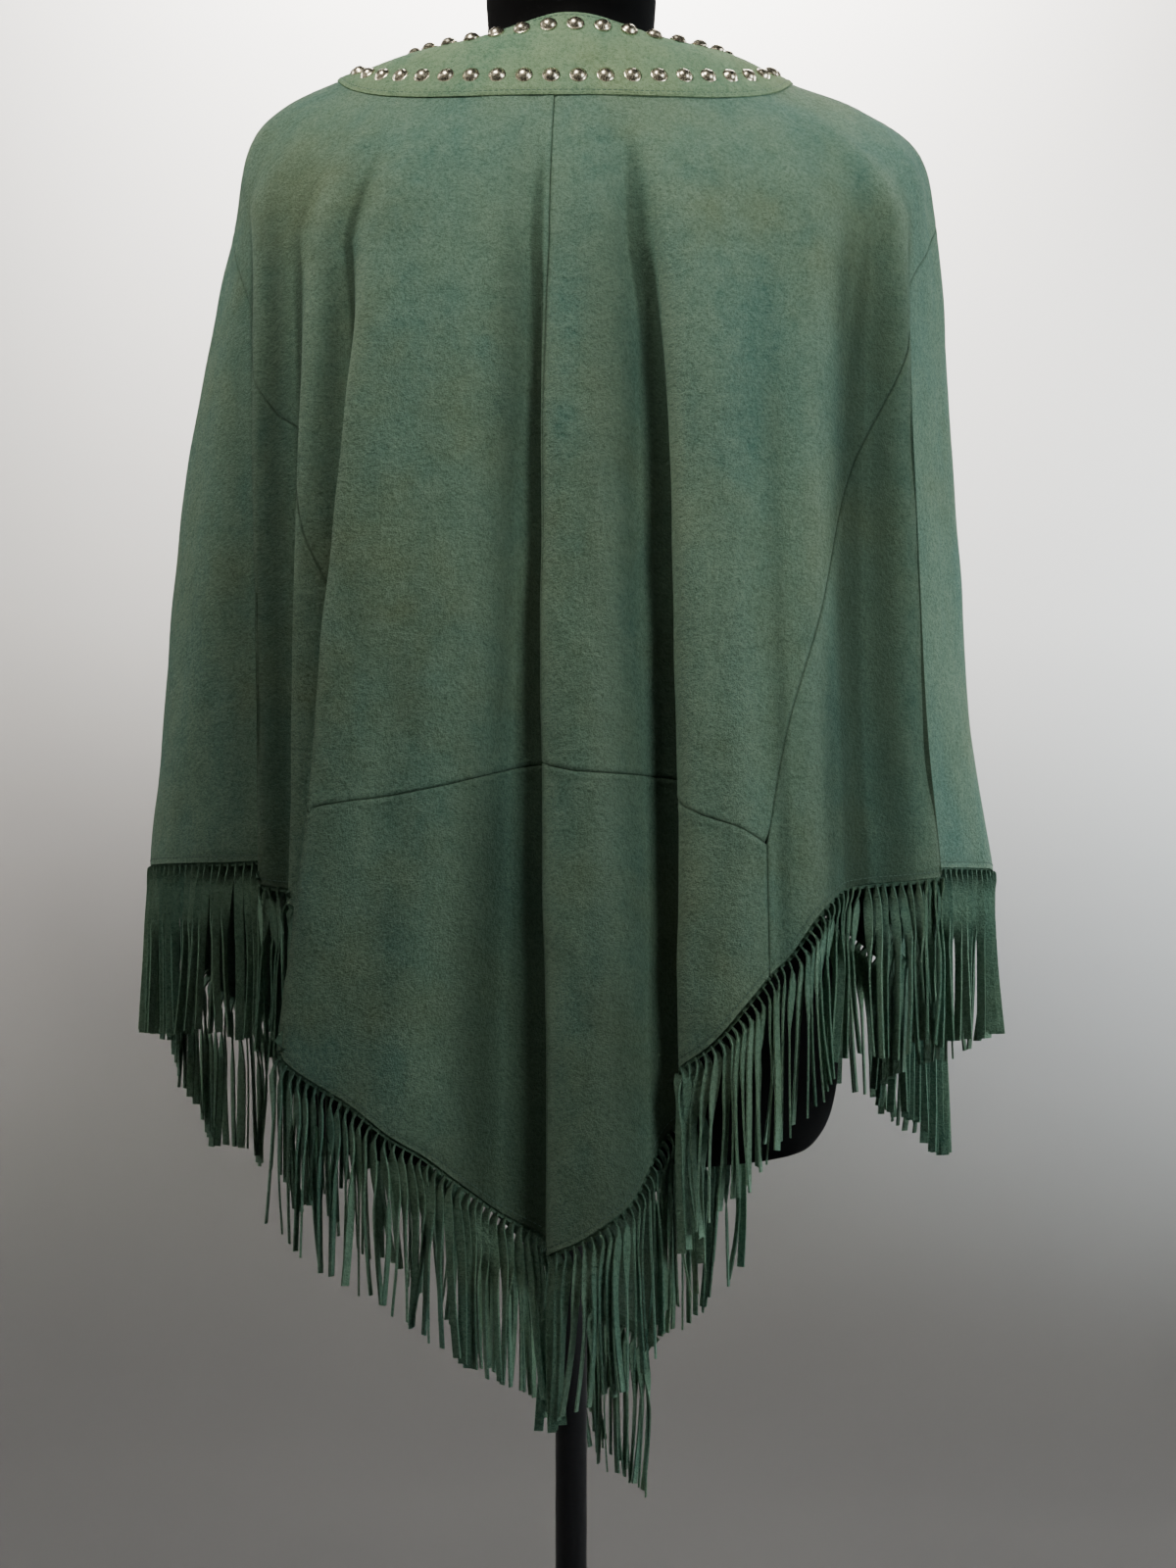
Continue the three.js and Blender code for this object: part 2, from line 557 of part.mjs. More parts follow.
// Strands hang from a strip that follows the hem. Each strand's root is a cell of the strip.
function fringe(from, to) {
  const shell = new Shell();
  const places = placesBetween(from, to);
  const last = places.length - 1;
  const sections = places.map((place, i) => {
    const setBack = i === 0 ? SEAM_GAP / 2 : i === last ? -SEAM_GAP / 2 : 0;
    return stripAt(place, setBack);
  });
  const corners = [];
  const strands = [];
  sections.forEach((section, i) => {
    corners.push(section);
    if (i === last) return;
    const next = sections[i + 1];
    const length = section[2].distanceTo(next[2]);
    const count = Math.round(length / FRINGE.pitch);
    const width = count ? Math.min(FRINGE.width / length, FRINGE.share / count) : 0;
    for (let n = 0; n < count; n++) {
      const middle = (n + 0.5) / count;
      for (const share of [middle - width / 2, middle + width / 2]) {
        corners.push(section.map((corner, k) => corner.clone().lerp(next[k], share)));
      }
      strands.push(corners.length - 2);
    }
  });
  const ids = corners.map((section) => section.map((corner) => shell.point(corner)));
  for (let i = 0; i < ids.length - 1; i++) {
    const [topOut, topIn, lowOut, lowIn] = ids[i];
    const [nextTopOut, nextTopIn, nextLowOut, nextLowIn] = ids[i + 1];
    shell.quad(topOut, lowOut, nextLowOut, nextTopOut);
    shell.quad(topIn, nextTopIn, nextLowIn, lowIn);
    shell.quad(topOut, nextTopOut, nextTopIn, topIn);
    if (strands.includes(i)) strand(shell, corners[i], corners[i + 1], ids[i], ids[i + 1], i);
    else shell.quad(lowOut, lowIn, nextLowIn, nextLowOut);
  }
  const first = ids[0];
  const end = ids[ids.length - 1];
  shell.quad(first[0], first[1], first[3], first[2]);
  shell.quad(end[0], end[2], end[3], end[1]);
  return shell.geometry();
}

// One strand, from its root straight down to its cut end.
function strand(shell, left, right, leftIds, rightIds, number) {
  const drop = FRINGE.drop - FRINGE.strip + FRINGE.uneven * Math.sin(number * GOLDEN);
  const middleHeight = (left[2].z + right[2].z) / 2;
  const roots = [left[2], left[3], right[3], right[2]];
  const rootIds = [leftIds[2], leftIds[3], rightIds[3], rightIds[2]];
  const endIds = roots.map((root) => {
    const end = root.clone();
    end.z = middleHeight - drop;
    return shell.point(end);
  });
  for (let k = 0; k < 4; k++) {
    const m = (k + 1) % 4;
    shell.quad(rootIds[k], rootIds[m], endIds[m], endIds[k]);
  }
  shell.quad(...endIds);
}

// ---- The dress form ----

// A closed body through rings of equal count, from the top down, with a point at each end.
function loft(rings, topPoint, bottomPoint) {
  const shell = new Shell();
  const ids = rings.map((ring) => ring.map((point) => shell.point(point)));
  const top = shell.point(topPoint);
  const bottom = shell.point(bottomPoint);
  const count = rings[0].length;
  for (let n = 0; n < count; n++) {
    const m = (n + 1) % count;
    shell.triangle(top, ids[0][n], ids[0][m]);
    for (let r = 0; r < ids.length - 1; r++) {
      shell.quad(ids[r][n], ids[r + 1][n], ids[r + 1][m], ids[r][m]);
    }
    shell.triangle(ids[ids.length - 1][n], bottom, ids[ids.length - 1][m]);
  }
  return shell.geometry();
}

// The neck and the shoulders follow the inside of the yoke, and the trunk its own sections.
const NECK_RINGS = [
  { height: FORM.neckTop, half: 55, rear: 52, fore: 54, lean: 4 },
  { height: 1442, half: 55.5, rear: 52, fore: 58, lean: 6 },
];
const NECK_FOOT = { aboveNeckline: 6, half: 58, rear: 52.5, fore: 62, lean: 7 };
const SHOULDER_RINGS = [
  { row: 0, inset: 7 },
  { row: 1, inset: REST_GAP },
  { row: 2, inset: 3 },
  { row: 2.8, inset: 7 },
  { row: 3.5, inset: 20 },
];
function torso() {
  const turns = upperPlaces.map((place) => {
    const point = clothAt(place, 1);
    return Math.atan2(point.x, -point.y);
  });
  const round = (turn, { half, rear, fore, lean }, height) => {
    const [x, y] = outlineAt({ left: half, right: half, rear, fore, square: 2 }, turn);
    return new THREE.Vector3(x, y + lean, height);
  };
  const neck = NECK_RINGS.map((ring) => turns.map((turn) => round(turn, ring, ring.height)));
  // The neck stays straight down to just above the neckline, which isn't level.
  neck.push(
    turns.map((turn, n) => {
      const neckline = clothAt(upperPlaces[n], 0).z;
      return round(turn, NECK_FOOT, neckline + NECK_FOOT.aboveNeckline);
    }),
  );
  const shoulders = SHOULDER_RINGS.map(({ row, inset }) =>
    upperPlaces.map((place) =>
      clothAt(place, row).addScaledVector(frameAt(place, row).out, -(WALL / 2 + inset)),
    ),
  );
  const trunk = TORSO.map(({ height, half, rear, fore, square }) =>
    turns.map((turn) => {
      const [x, y] = outlineAt({ left: half, right: half, rear, fore, square }, turn);
      return new THREE.Vector3(x, y, height);
    }),
  );
  const top = new THREE.Vector3(0, NECK_RINGS[0].lean, FORM.neckTop + FORM.capRise);
  const bottom = new THREE.Vector3(0, 0, FORM.underside);
  return loft([...neck, ...shoulders, ...trunk], top, bottom);
}

const stand = () =>
  new THREE.LatheGeometry(
    [
      [0, 0],
      [BASE.radius, 0],
      [BASE.radius, BASE.edge],
      [BASE.radius / 2, BASE.shoulder],
      [BASE.hub, BASE.foot],
      [BASE.hub, BASE.collar],
      [0, BASE.collar],
    ].map(([radius, height]) => new THREE.Vector2(radius, height)),
    BASE.sides,
  ).rotateX(Math.PI / 2);

function pole() {
  const foot = BASE.collar + POLE.gap;
  const length = FORM.underside - POLE.gap - foot;
  const made = new THREE.CylinderGeometry(POLE.radius, POLE.radius, length, POLE.sides);
  return made.rotateX(Math.PI / 2).translate(0, 0, foot + length / 2);
}

// ---- The whole part ----

const part = new THREE.Group();
function add(name, geometry, look) {
  const mesh = new THREE.Mesh(geometry, new THREE.MeshStandardMaterial(look));
  mesh.name = name;
  part.add(mesh);
}

add("neck_yoke", yoke(), STUDDED_SUEDE);
add("back_upper_left", upperBack(LEFT, CENTRE), SUEDE);
add("back_upper_right", upperBack(CENTRE, RIGHT), SUEDE);
add("back_lower_left", underSeam(LEFT_CORNER, CENTRE), SUEDE);
add("back_lower_right", underSeam(CENTRE, RIGHT_CORNER), SUEDE);
add("side_right", underSeam(RIGHT_CORNER, RIGHT_FRONT_CORNER), SUEDE);
add("side_left", underSeam(LEFT_FRONT_CORNER, AROUND + LEFT_CORNER), SUEDE);
add("front_panel", frontPanel(), SUEDE);
add("fringe_back_left", fringe(LEFT_CORNER, CENTRE), SUEDE);
add("fringe_back_right", fringe(CENTRE, RIGHT_CORNER), SUEDE);
add("fringe_side_right", fringe(RIGHT_CORNER, RIGHT_FRONT_CORNER), SUEDE);
add("fringe_side_left", fringe(LEFT_FRONT_CORNER, AROUND + LEFT_CORNER), SUEDE);
add("fringe_front", fringe(RIGHT_FRONT_CORNER, LEFT_FRONT_CORNER), SUEDE);
add("dress_form", torso(), JERSEY);
add("form_pole", pole(), BLACK_STEEL);
add("form_base", stand(), BLACK_STEEL);

export default part;
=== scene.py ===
# %% [markdown]
# # A fringed suede poncho on a dress form
# The real garment is seven panels of soft suede, sewn edge to edge under a studded yoke
# and hung on a limbless dress form, where gravity gathers it into long folds. Cloth
# could be simulated, but this cloth has folds in known places. So one surface is
# written as a rule, and every panel, stitch and strip of fringe is cut from it.

# %% Load the fixed frame
import math

import bpy
import numpy as np
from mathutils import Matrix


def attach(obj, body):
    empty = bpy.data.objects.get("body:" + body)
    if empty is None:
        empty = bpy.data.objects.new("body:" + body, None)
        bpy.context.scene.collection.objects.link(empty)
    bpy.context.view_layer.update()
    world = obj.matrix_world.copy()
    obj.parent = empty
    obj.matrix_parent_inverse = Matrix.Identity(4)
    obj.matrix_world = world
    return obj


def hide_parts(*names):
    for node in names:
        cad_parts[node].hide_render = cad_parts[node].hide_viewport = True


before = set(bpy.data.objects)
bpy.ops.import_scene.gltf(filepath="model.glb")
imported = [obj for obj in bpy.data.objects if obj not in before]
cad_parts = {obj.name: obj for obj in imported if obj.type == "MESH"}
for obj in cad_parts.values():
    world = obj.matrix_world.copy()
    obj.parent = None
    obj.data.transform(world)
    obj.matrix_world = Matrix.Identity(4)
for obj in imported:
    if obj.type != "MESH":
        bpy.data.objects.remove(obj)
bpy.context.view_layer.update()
MM = 0.001
WALL = 1.5
print("solids in the frame:", len(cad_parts))

# %% [markdown]
# ## The table of rings
# A draped poncho seen from above is a stack of rounded rings. Each row gives one ring's
# heights at the side, the back and the front, its half widths and depths, how square
# it is, and how level it runs. Numbers in a short table are easy to compare and change.

# %% Rings from the neckline down, in millimetres
RING_COLUMNS = ["side", "back", "front", "left", "right", "rear", "fore", "square", "flat"]
RINGS = np.array(
    [
        [1400, 1419, 1342, 97, 97, 62, 100, 2.0, 0.0],  # neckline
        [1395, 1389, 1318, 124, 120, 82, 120, 2.05, 0.5],  # collar_mid
        [1387, 1361, 1294, 150, 143, 97, 136, 2.1, 1.0],  # collar_edge
        [1371, 1325, 1262, 186, 190, 114, 149, 2.2, 1.0],  # crown
        [1344, 1285, 1225, 209, 227, 126, 158, 2.3, 1.0],  # shoulder
        [1290, 1235, 1185, 220, 239, 135, 166, 2.4, 1.0],  # tip
        [1196, 1166, 1132, 238, 245, 143, 173, 2.45, 1.0],  # upper_arm
        [1081, 1070, 1060, 256, 252, 151, 180, 2.45, 1.0],  # elbow
        [966, 966, 966, 266, 260, 158, 186, 2.45, 1.0],  # waist
        [872, 872, 872, 275, 275, 164, 190, 2.4, 1.0],  # side_hem
        [780, 780, 780, 282, 281, 168, 194, 2.4, 1.0],  # hip
        [680, 680, 680, 286, 286, 172, 197, 2.4, 1.0],  # low
        [520, 520, 520, 292, 292, 176, 200, 2.4, 1.0],  # point
    ],
    float,
)

# %% [markdown]
# ## The table of folds
# A long fold is a ridge line or a valley line. Each row gives the angle of one line
# round the form high up, at the elbow and low down, how far it stands out of its ring
# at those levels, the height of the seam that crosses it, and the height of the hem.

# %% Folds, once round from the left side over the back, in degrees and millimetres
FOLDS = [
    ("left_side", -92, -92, -92, 0, 0, 0, 1298, 874),
    ("left_flank", -86, -80, -78, 1, 2, 2, 1280, 877),
    ("flank_turn", -82, -69, -64, -1, -8, -10, 1255, 879),
    ("flank_tuck", -78, -58.5, -50, -4, -15, -16, 1222, 880),
    ("terrace_edge", -74, -64, -58, 3, -2, -4, 1186, 868),
    ("terrace", -68, -57, -52.5, 1, -4, -7, 1158, 864),
    ("terrace_tuck", -62.5, -50.5, -45, -3, -8, -11, 1145, 861),
    ("step_edge", -59, -55.5, -53.5, 4, 5, 2, 1110, 856),
    ("step", -55, -48.5, -46, 3, 2, -1, 1050, 845),
    ("pleat_tuck", -52, -38.5, -27, -1, -4, -12, 960, 816),
    ("left_corner", -49.8, -44, -40.5, 3, 7, 5, 897, 794),
    ("pleat_edge", -47, -48.5, -54.5, 6, 15, 16, 912, 766),
    ("left_panel_outer", -42, -40, -40, 6, 14, 15, 918, 739),
    ("left_panel_middle", -36, -33, -34, 5, 13, 14, 922, 717),
    ("left_panel_inner", -28, -25.5, -27, 4, 11, 12, 927, 702),
    ("left_crease", -16, -17, -20, 2, 7, 8, 933, 683),
    ("centre_valley", -11.5, -11.5, -12.5, -2, -10, -12, 938, 664),
    ("centre_tuck", -8.8, -3, -1.5, -3, -14, -16, 941, 650),
    ("centre_edge", -6, -9, -6.5, 0, -3, -3, 941, 641),
    ("centre_rise", -2, 1, 1, 3, 6, 7, 936, 650),
    ("centre_ridge", 5, 7, 7.5, 5, 12, 14, 935, 663),
    ("ridge_fall", 11.5, 13, 13, 2, 5, 6, 934, 679),
    ("dark_valley", 16.5, 19, 18.5, -6, -17, -17, 932, 714),
    ("valley_tuck", 20, 27.5, 28.5, -7, -20, -20, 928, 734),
    ("right_edge", 23, 21.3, 18.5, 1, -2, -3, 919, 753),
    ("right_rise", 29, 27, 26.5, 6, 10, 10, 909, 768),
    ("right_ridge", 36, 33.6, 33, 7, 15, 16, 902, 793),
    ("right_corner", 41, 38.2, 37, 6, 12, 13, 891, 812),
    ("right_panel", 47, 42.5, 40.5, 3, 8, 9, 962, 825),
    ("flank_ridge", 55, 48, 44.7, 6, 13, 13, 1020, 848),
    ("flank_fall", 60, 52, 49, 2, 2, 2, 1080, 862),
    ("flank_valley", 64.5, 56, 53.5, -3, -7, -7, 1130, 866),
    ("flank_rise", 68, 61.5, 59, 1, 1, 0, 1170, 868),
    ("flank_edge", 71, 69, 68, 5, 8, 7, 1215, 871),
    ("under_tuck", 73.5, 62, 60.5, -3, -9, -9, 1238, 874),
    ("outer_layer", 79, 74, 73, -1, -8, -9, 1266, 875),
    ("right_side", 90, 89, 88, 1, 6, 22, 1296, 870),
    ("side_pleat_in", 97, 96, 94, -1, -14, -84, 1275, 850),
    ("side_pleat_floor", 103, 103, 101, -1, -16, -92, 1240, 826),
    ("side_pleat_out", 109, 111, 110, 2, 4, 9, 1200, 788),
    ("front_flank", 116, 118, 118, 3, 6, 6, 1150, 792),
    ("front_dip", 123, 126, 127, -2, -6, -6, 1090, 822),
    ("front_swell", 130, 134, 136, 3, 8, 9, 1010, 846),
    ("right_front_corner", 137, 141, 143, 4, 11, 15, 891, 842),
    ("cascade_run", 142, 149, 153, 4, 12, 20, 891, 800),
    ("cascade_left_tuck", 147, 158, 178, 3, 12, 20, 891, 742),
    ("cascade_right_tuck", 152, 150, 136, 2, 4, 9, 891, 686),
    ("point_left_tuck", 157, 168, 190, 1, -3, -2, 891, 612),
    ("point_right_tuck", 162, 160, 156.5, 0, -11, -14, 891, 538),
    ("front_point", 168, 171, 171, 0, -14, -19, 891, 552),
    ("front_middle", 176, 180, 181, 0, -9, -14, 891, 577),
    ("front_left_swell", 186, 189, 190, 3, 4, 2, 891, 608),
    ("front_left_dip", 195, 197, 196.5, -1, -5, -6, 891, 634),
    ("front_left_ridge", 204, 205, 205, 3, 10, 12, 891, 664),
    ("front_left_fall", 212, 213, 213, 2, 4, 4, 891, 692),
    ("left_front_corner", 220, 221, 221, -2, -8, -9, 891, 716),
    ("left_front_rise", 228, 229, 229, 3, 8, 10, 1010, 752),
    ("left_front_ridge", 237, 237, 238, 3, 6, 8, 1100, 778),
    ("left_front_valley", 246, 246, 247, -1, -6, -8, 1168, 798),
    ("left_front_swell", 254, 254, 255, 1, 2, 3, 1225, 858),
    ("left_front_side", 261, 261, 262, 1, 3, 4, 1270, 872),
]
FOLD_COLUMNS = ["turn_high", "turn_mid", "turn_low", "out_high", "out_mid", "out_low"]
FOLD_COLUMNS += ["seam", "hem"]
FOLD_NAMES = [fold[0] for fold in FOLDS]
FOLD = {name: np.array([fold[k + 1] for fold in FOLDS], float) for k, name in enumerate(FOLD_COLUMNS)}
AROUND = len(FOLDS)
print("rings:", len(RINGS), "folds:", AROUND)

# %% [markdown]
# ## The surface
# Between two rings the values follow a Catmull-Rom curve, which passes through every
# row of the table. Round the garment the cloth follows a B-spline, which only leans
# towards its points. That gives folds the soft roundness of real suede.

# %% One ring at any row, and its outline from above
def catmull(before, here, there, after, f):
    slope = (there - before) * f
    bend = (2 * before - 5 * here + 4 * there - after) * f * f
    return here + 0.5 * (slope + bend + (3 * here - before - 3 * there + after) * f**3)


def ring_at(row):
    last = len(RINGS) - 1
    i = np.clip(np.floor(row).astype(int), 0, last - 1)
    here, there = RINGS[i], RINGS[i + 1]
    first, final = (i == 0)[..., None], (i + 2 > last)[..., None]
    before = np.where(first, 2 * here - there, RINGS[np.maximum(i - 1, 0)])
    after = np.where(final, 2 * there - here, RINGS[np.minimum(i + 2, last)])
    values = catmull(before, here, there, after, (row - i)[..., None])
    return {name: values[..., k] for k, name in enumerate(RING_COLUMNS)}


def outline_at(ring, turn):
    sine, cosine = np.sin(turn), np.cos(turn)
    half = np.where(sine > 0, ring["right"], ring["left"])
    depth = np.where(cosine > 0, ring["rear"], ring["fore"])
    power = ring["square"]
    radius = (np.abs(sine / half) ** power + np.abs(cosine / depth) ** power) ** (-1 / power)
    return radius * sine, -radius * cosine


# %% The cloth at a place round the folds and a row down the rings
SADDLE = 0.1
PLAIN, HIGH, MID, LOW = 2.1, 4.5, 7.0, 10.0


def height_at(ring, turn):
    cosine = np.cos(turn)
    level = (np.hypot(cosine, SADDLE) - SADDLE) / (math.hypot(1, SADDLE) - SADDLE)
    share = level**3 * (1 - ring["flat"]) + (1 - (1 - level) ** 3) * ring["flat"]
    return ring["side"] + (np.where(cosine > 0, ring["back"], ring["front"]) - ring["side"]) * share


def levelled(kind, knot, row):
    w = np.clip(row, HIGH, LOW)
    at_high = (w - MID) * (w - LOW) / ((HIGH - MID) * (HIGH - LOW))
    at_mid = (w - HIGH) * (w - LOW) / ((MID - HIGH) * (MID - LOW))
    at_low = (w - HIGH) * (w - MID) / ((LOW - HIGH) * (LOW - MID))
    high, mid, low = (FOLD[f"{kind}_{level}"][knot] for level in ("high", "mid", "low"))
    return high * at_high + mid * at_mid + low * at_low


def guide_at(knot, row, ring):
    turn = np.radians(levelled("turn", knot, row))
    f = np.clip((row - PLAIN) / (HIGH - PLAIN), 0, 1)
    out = f * f * (3 - 2 * f) * levelled("out", knot, row)
    x, y = outline_at(ring, turn)
    xa, ya = outline_at(ring, turn - 1e-3)
    xb, yb = outline_at(ring, turn + 1e-3)
    run = np.hypot(xb - xa, yb - ya)
    return np.stack([x + out * (yb - ya) / run, y - out * (xb - xa) / run, height_at(ring, turn)], -1)


def cloth(place, row):
    place, row = np.broadcast_arrays(np.asarray(place, float), np.asarray(row, float))
    i = np.floor(place).astype(int)
    f = place - i
    ring = ring_at(row)
    weights = [(1 - f) ** 3, 3 * f**3 - 6 * f * f + 4, -3 * f**3 + 3 * f * f + 3 * f + 1, f**3]
    return sum(
        (weight / 6)[..., None] * guide_at((i - 1 + k) % AROUND, row, ring)
        for k, weight in enumerate(weights)
    )


print("the lowest back point lies at", np.round(cloth(FOLD_NAMES.index("centre_edge"), 10.0), 1))

# %% [markdown]
# ## Directions on the cloth
# A wall needs to know which way is out, a seam which way is down, and a stitch which
# way is along. All three come from stepping a little to each side on the surface, so
# they hold for any fold without a formula of their own.

# %% Directions, and the row of a height
STEP = 0.01


def unit(vectors):
    return vectors / np.maximum(np.linalg.norm(vectors, axis=-1, keepdims=True), 1e-9)


def directions(place, row):
    along = cloth(place + STEP, row) - cloth(place - STEP, row)
    down = cloth(place, row + STEP) - cloth(place, row - STEP)
    per_place = np.linalg.norm(along, axis=-1) / (2 * STEP)
    per_row = np.linalg.norm(down, axis=-1) / (2 * STEP)
    return unit(along), unit(down), unit(np.cross(down, along)), per_place, per_row


def row_at_height(place, height):
    upper = np.zeros_like(place)
    lower = np.full_like(place, len(RINGS) - 1.0)
    for _ in range(34):
        middle = (upper + lower) / 2
        above = cloth(place, middle)[..., 2] > height
        upper, lower = np.where(above, middle, upper), np.where(above, lower, middle)
    return (upper + lower) / 2


# %% The rows of the seams and of the hem
POINT = FOLD_NAMES.index("centre_edge")
YOKE_ROW = 2.0  # the ring at which the panels are sewn under the yoke


def seam_row(place):
    place = np.asarray(place, float)
    i = np.floor(place).astype(int)
    here, there = FOLD["seam"][i % AROUND], FOLD["seam"][(i + 1) % AROUND]
    return row_at_height(place, here + (there - here) * (place - i))


def hem_row(place):
    place = np.asarray(place, float)
    i = np.floor(place).astype(int)
    a, b, c, d = (FOLD["hem"][(i + k) % AROUND] for k in (-1, 0, 1, 2))
    a = np.where(i % AROUND == POINT, 2 * b - c, a)
    d = np.where((i + 1) % AROUND == POINT, 2 * c - b, d)
    return row_at_height(place, catmull(a, b, c, d, place - i))


def yoke_row(place):
    return np.full_like(np.asarray(place, float), YOKE_ROW)


def apart(place, other):
    """How many folds a place lies from another, the short way round."""
    return (place - other + AROUND / 2) % AROUND - AROUND / 2


def at(name, shift=0.0):
    return FOLD_NAMES.index(name) + shift


LEFT, RIGHT = at("left_side"), at("right_side")
LEFT_CORNER, RIGHT_CORNER = at("left_corner"), at("right_corner")
RIGHT_FRONT, LEFT_FRONT = at("right_front_corner"), at("left_front_corner")
hem_heights = cloth(np.arange(AROUND), hem_row(np.arange(AROUND)))[:, 2]
print("the hem runs between", round(hem_heights.min()), "and", round(hem_heights.max()), "mm")

# %% [markdown]
# ## Creases set by hand
# The rings and folds give the big forms. A worn garment also has slack: soft troughs
# that run out of the shoulders, a dent where a fold starts, ripples above the hem.
# Each row below is one crease, from a place and height to another, with its width
# and how far it lifts the suede, in millimetres. Below zero it is a trough.

# %% The creases and the slack of the suede
CREASES = [
    # start, its height, end, its height, bow, width, lift
    (at("left_flank"), 1320, at("left_flank"), 960, 0.2, 20, -1.6),
    (at("terrace", -0.1), 1270, at("terrace", -0.1), 900, -0.2, 10, -3.0),
    (at("step"), 1190, at("step"), 870, 0.1, 9, -2.4),
    (at("left_panel_outer"), 1330, at("left_panel_outer", 0.4), 1010, 0.3, 22, 2.0),
    (at("left_panel_outer", 0.6), 1120, at("left_panel_outer", 0.2), 760, 0.2, 15, -1.7),
    (at("left_panel_middle"), 1300, at("left_panel_middle", 0.3), 1100, -0.3, 18, -2.2),
    (at("left_panel_middle", 0.6), 1050, at("left_panel_middle", 0.2), 720, 0.3, 20, 2.4),
    (at("left_panel_inner"), 1340, at("left_panel_inner", 0.5), 1180, 0.1, 24, -1.8),
    (at("left_panel_inner", 0.4), 1000, at("left_panel_inner", 0.6), 740, -0.2, 12, -1.5),
    (at("left_crease", 0.2), 1290, at("left_crease", -0.1), 900, 0.2, 14, 2.0),
    (at("centre_valley"), 880, at("centre_valley", -0.4), 690, 0.1, 12, 1.3),
    (at("centre_rise", 0.3), 1310, at("centre_rise", 0.2), 1060, 0.2, 12, -1.6),
    (at("centre_ridge"), 1010, at("centre_ridge", 0.2), 700, 0.2, 13, -1.4),
    (at("ridge_fall"), 1300, at("ridge_fall", -0.3), 1130, 0.3, 15, 2.2),
    (at("dark_valley", -0.3), 1335, at("dark_valley"), 1230, 0.3, 13, -3.0),
    (at("right_rise"), 1320, at("right_rise", 0.5), 1170, -0.3, 18, 2.4),
    (at("right_rise", 0.4), 1150, at("right_rise", 0.2), 850, 0.3, 12, -1.8),
    (at("right_ridge", 0.2), 1080, at("right_ridge"), 830, 0.2, 14, 1.9),
    (at("right_corner"), 1310, at("right_corner", 0.4), 1090, 0.2, 16, -2.0),
    (at("right_panel", 0.3), 1120, at("right_panel", 0.2), 880, -0.2, 14, 1.7),
    (at("flank_fall"), 1300, at("flank_fall", 0.3), 1010, 0.3, 12, -1.8),
    (at("flank_valley", 0.7), 1290, at("flank_valley", 0.8), 900, 0.1, 15, -4.0),
    (at("flank_rise", 0.6), 1040, at("flank_rise", 0.5), 890, 0.1, 9, -1.2),
    (at("right_side", -0.4), 1250, at("right_side", -0.2), 960, 0.2, 16, 1.8),
    (at("front_flank"), 1270, at("front_flank", 0.3), 960, 0.2, 18, -1.9),
    (at("front_dip", 0.5), 1230, at("front_dip", 0.3), 900, 0.3, 16, 1.8),
    (at("front_swell", 0.5), 1200, at("front_swell", 0.4), 880, -0.3, 18, -1.8),
    (at("cascade_run"), 1240, at("cascade_run"), 1010, 0.2, 14, 2.0),
    (at("front_point", 0.4), 1230, at("front_point", 0.2), 1080, 0.2, 20, -2.0),
    (at("front_middle"), 1130, at("front_middle", 0.2), 700, 0.3, 18, 2.0),
    (at("front_left_swell", 0.3), 1220, at("front_left_swell"), 930, 0.2, 16, -1.7),
    (at("front_left_ridge"), 1180, at("front_left_ridge", 0.3), 760, -0.3, 14, 1.9),
    (at("left_front_corner"), 1240, at("left_front_corner", 0.4), 900, 0.2, 18, -1.8),
    (at("left_front_rise", 0.4), 1260, at("left_front_ridge"), 860, 0.2, 14, 1.6),
    (at("left_front_valley"), 1180, at("left_front_valley", 0.3), 840, 0.2, 15, -1.5),
    (at("left_front_side", -0.5), 1270, at("left_front_side", -0.3), 960, 0.1, 17, 1.8),
]
# Painted shade: each row darkens the suede's colour in a strip beside a fold, where the folds keep light
# away.
PAINTED_SHADE_BESIDE_FOLDS = [
    # place, width, how dark the painted shade beside it is, from what height
    (at("flank_turn", 0.3), 16, 0.3, 1400),
    (at("terrace", -0.1), 14, 0.9, 1400),
    (at("step", 0.1), 9, 0.6, 1400),
    (at("left_crease", 0.4), 15, 0.7, 1400),
    (at("left_crease", 0.35), 22, 1.0, 1080),
    (at("ridge_fall"), 22, 0.65, 1400),
    (at("ridge_fall", -0.3), 26, 0.75, 980),
    (at("flank_fall", 0.3), 15, 0.85, 1400),
    (at("flank_fall", -0.2), 16, 0.8, 1150),
    (at("flank_valley", 0.8), 22, 1.0, 1400),
]
TUCKS = [k for k, name in enumerate(FOLD_NAMES) if name.endswith("tuck") or "side_pleat" in name]
RIPPLES = np.random.default_rng(11)
ripple_ways = unit(RIPPLES.normal(size=(18, 3)) * [1, 1, 0.45])
ripple_sizes = RIPPLES.uniform(26, 85, 18)
ripple_starts = RIPPLES.uniform(0, 6.28, 18)


def hump(distance, middle, width):
    """A soft bell that is 1 at its middle."""
    return np.exp(-(((distance - middle) / width) ** 2))


def smoothstep(value):
    value = np.clip(value, 0, 1)
    return value * value * (3 - 2 * value)


def lift_at(place, spot, per_place):
    """How far slack and creases stand off the surface, in millimetres."""
    height = spot[..., 2]
    lift = np.zeros_like(height)
    for start, top, end, bottom, bow, width, most in CREASES:
        f = np.clip((top - height) / (top - bottom), 0, 1)
        line = start + (end - start) * f + bow * np.sin(math.pi * f)
        run = smoothstep((top + 40 - height) / 90) * smoothstep((height - bottom + 40) / 90)
        lift += most * run * hump(apart(place, line) * per_place, 0, width)
    for way, size, begin in zip(ripple_ways, ripple_sizes, ripple_starts):
        lift += 0.16 * np.sin(spot @ way * 2 * math.pi / size + begin)
    away = np.min([np.abs(apart(place, tuck)) for tuck in TUCKS], 0)
    return lift * (0.12 + 0.88 * smoothstep((away - 0.4) / 0.9)) * smoothstep((1395 - height) / 90)


print("creases:", len(CREASES))
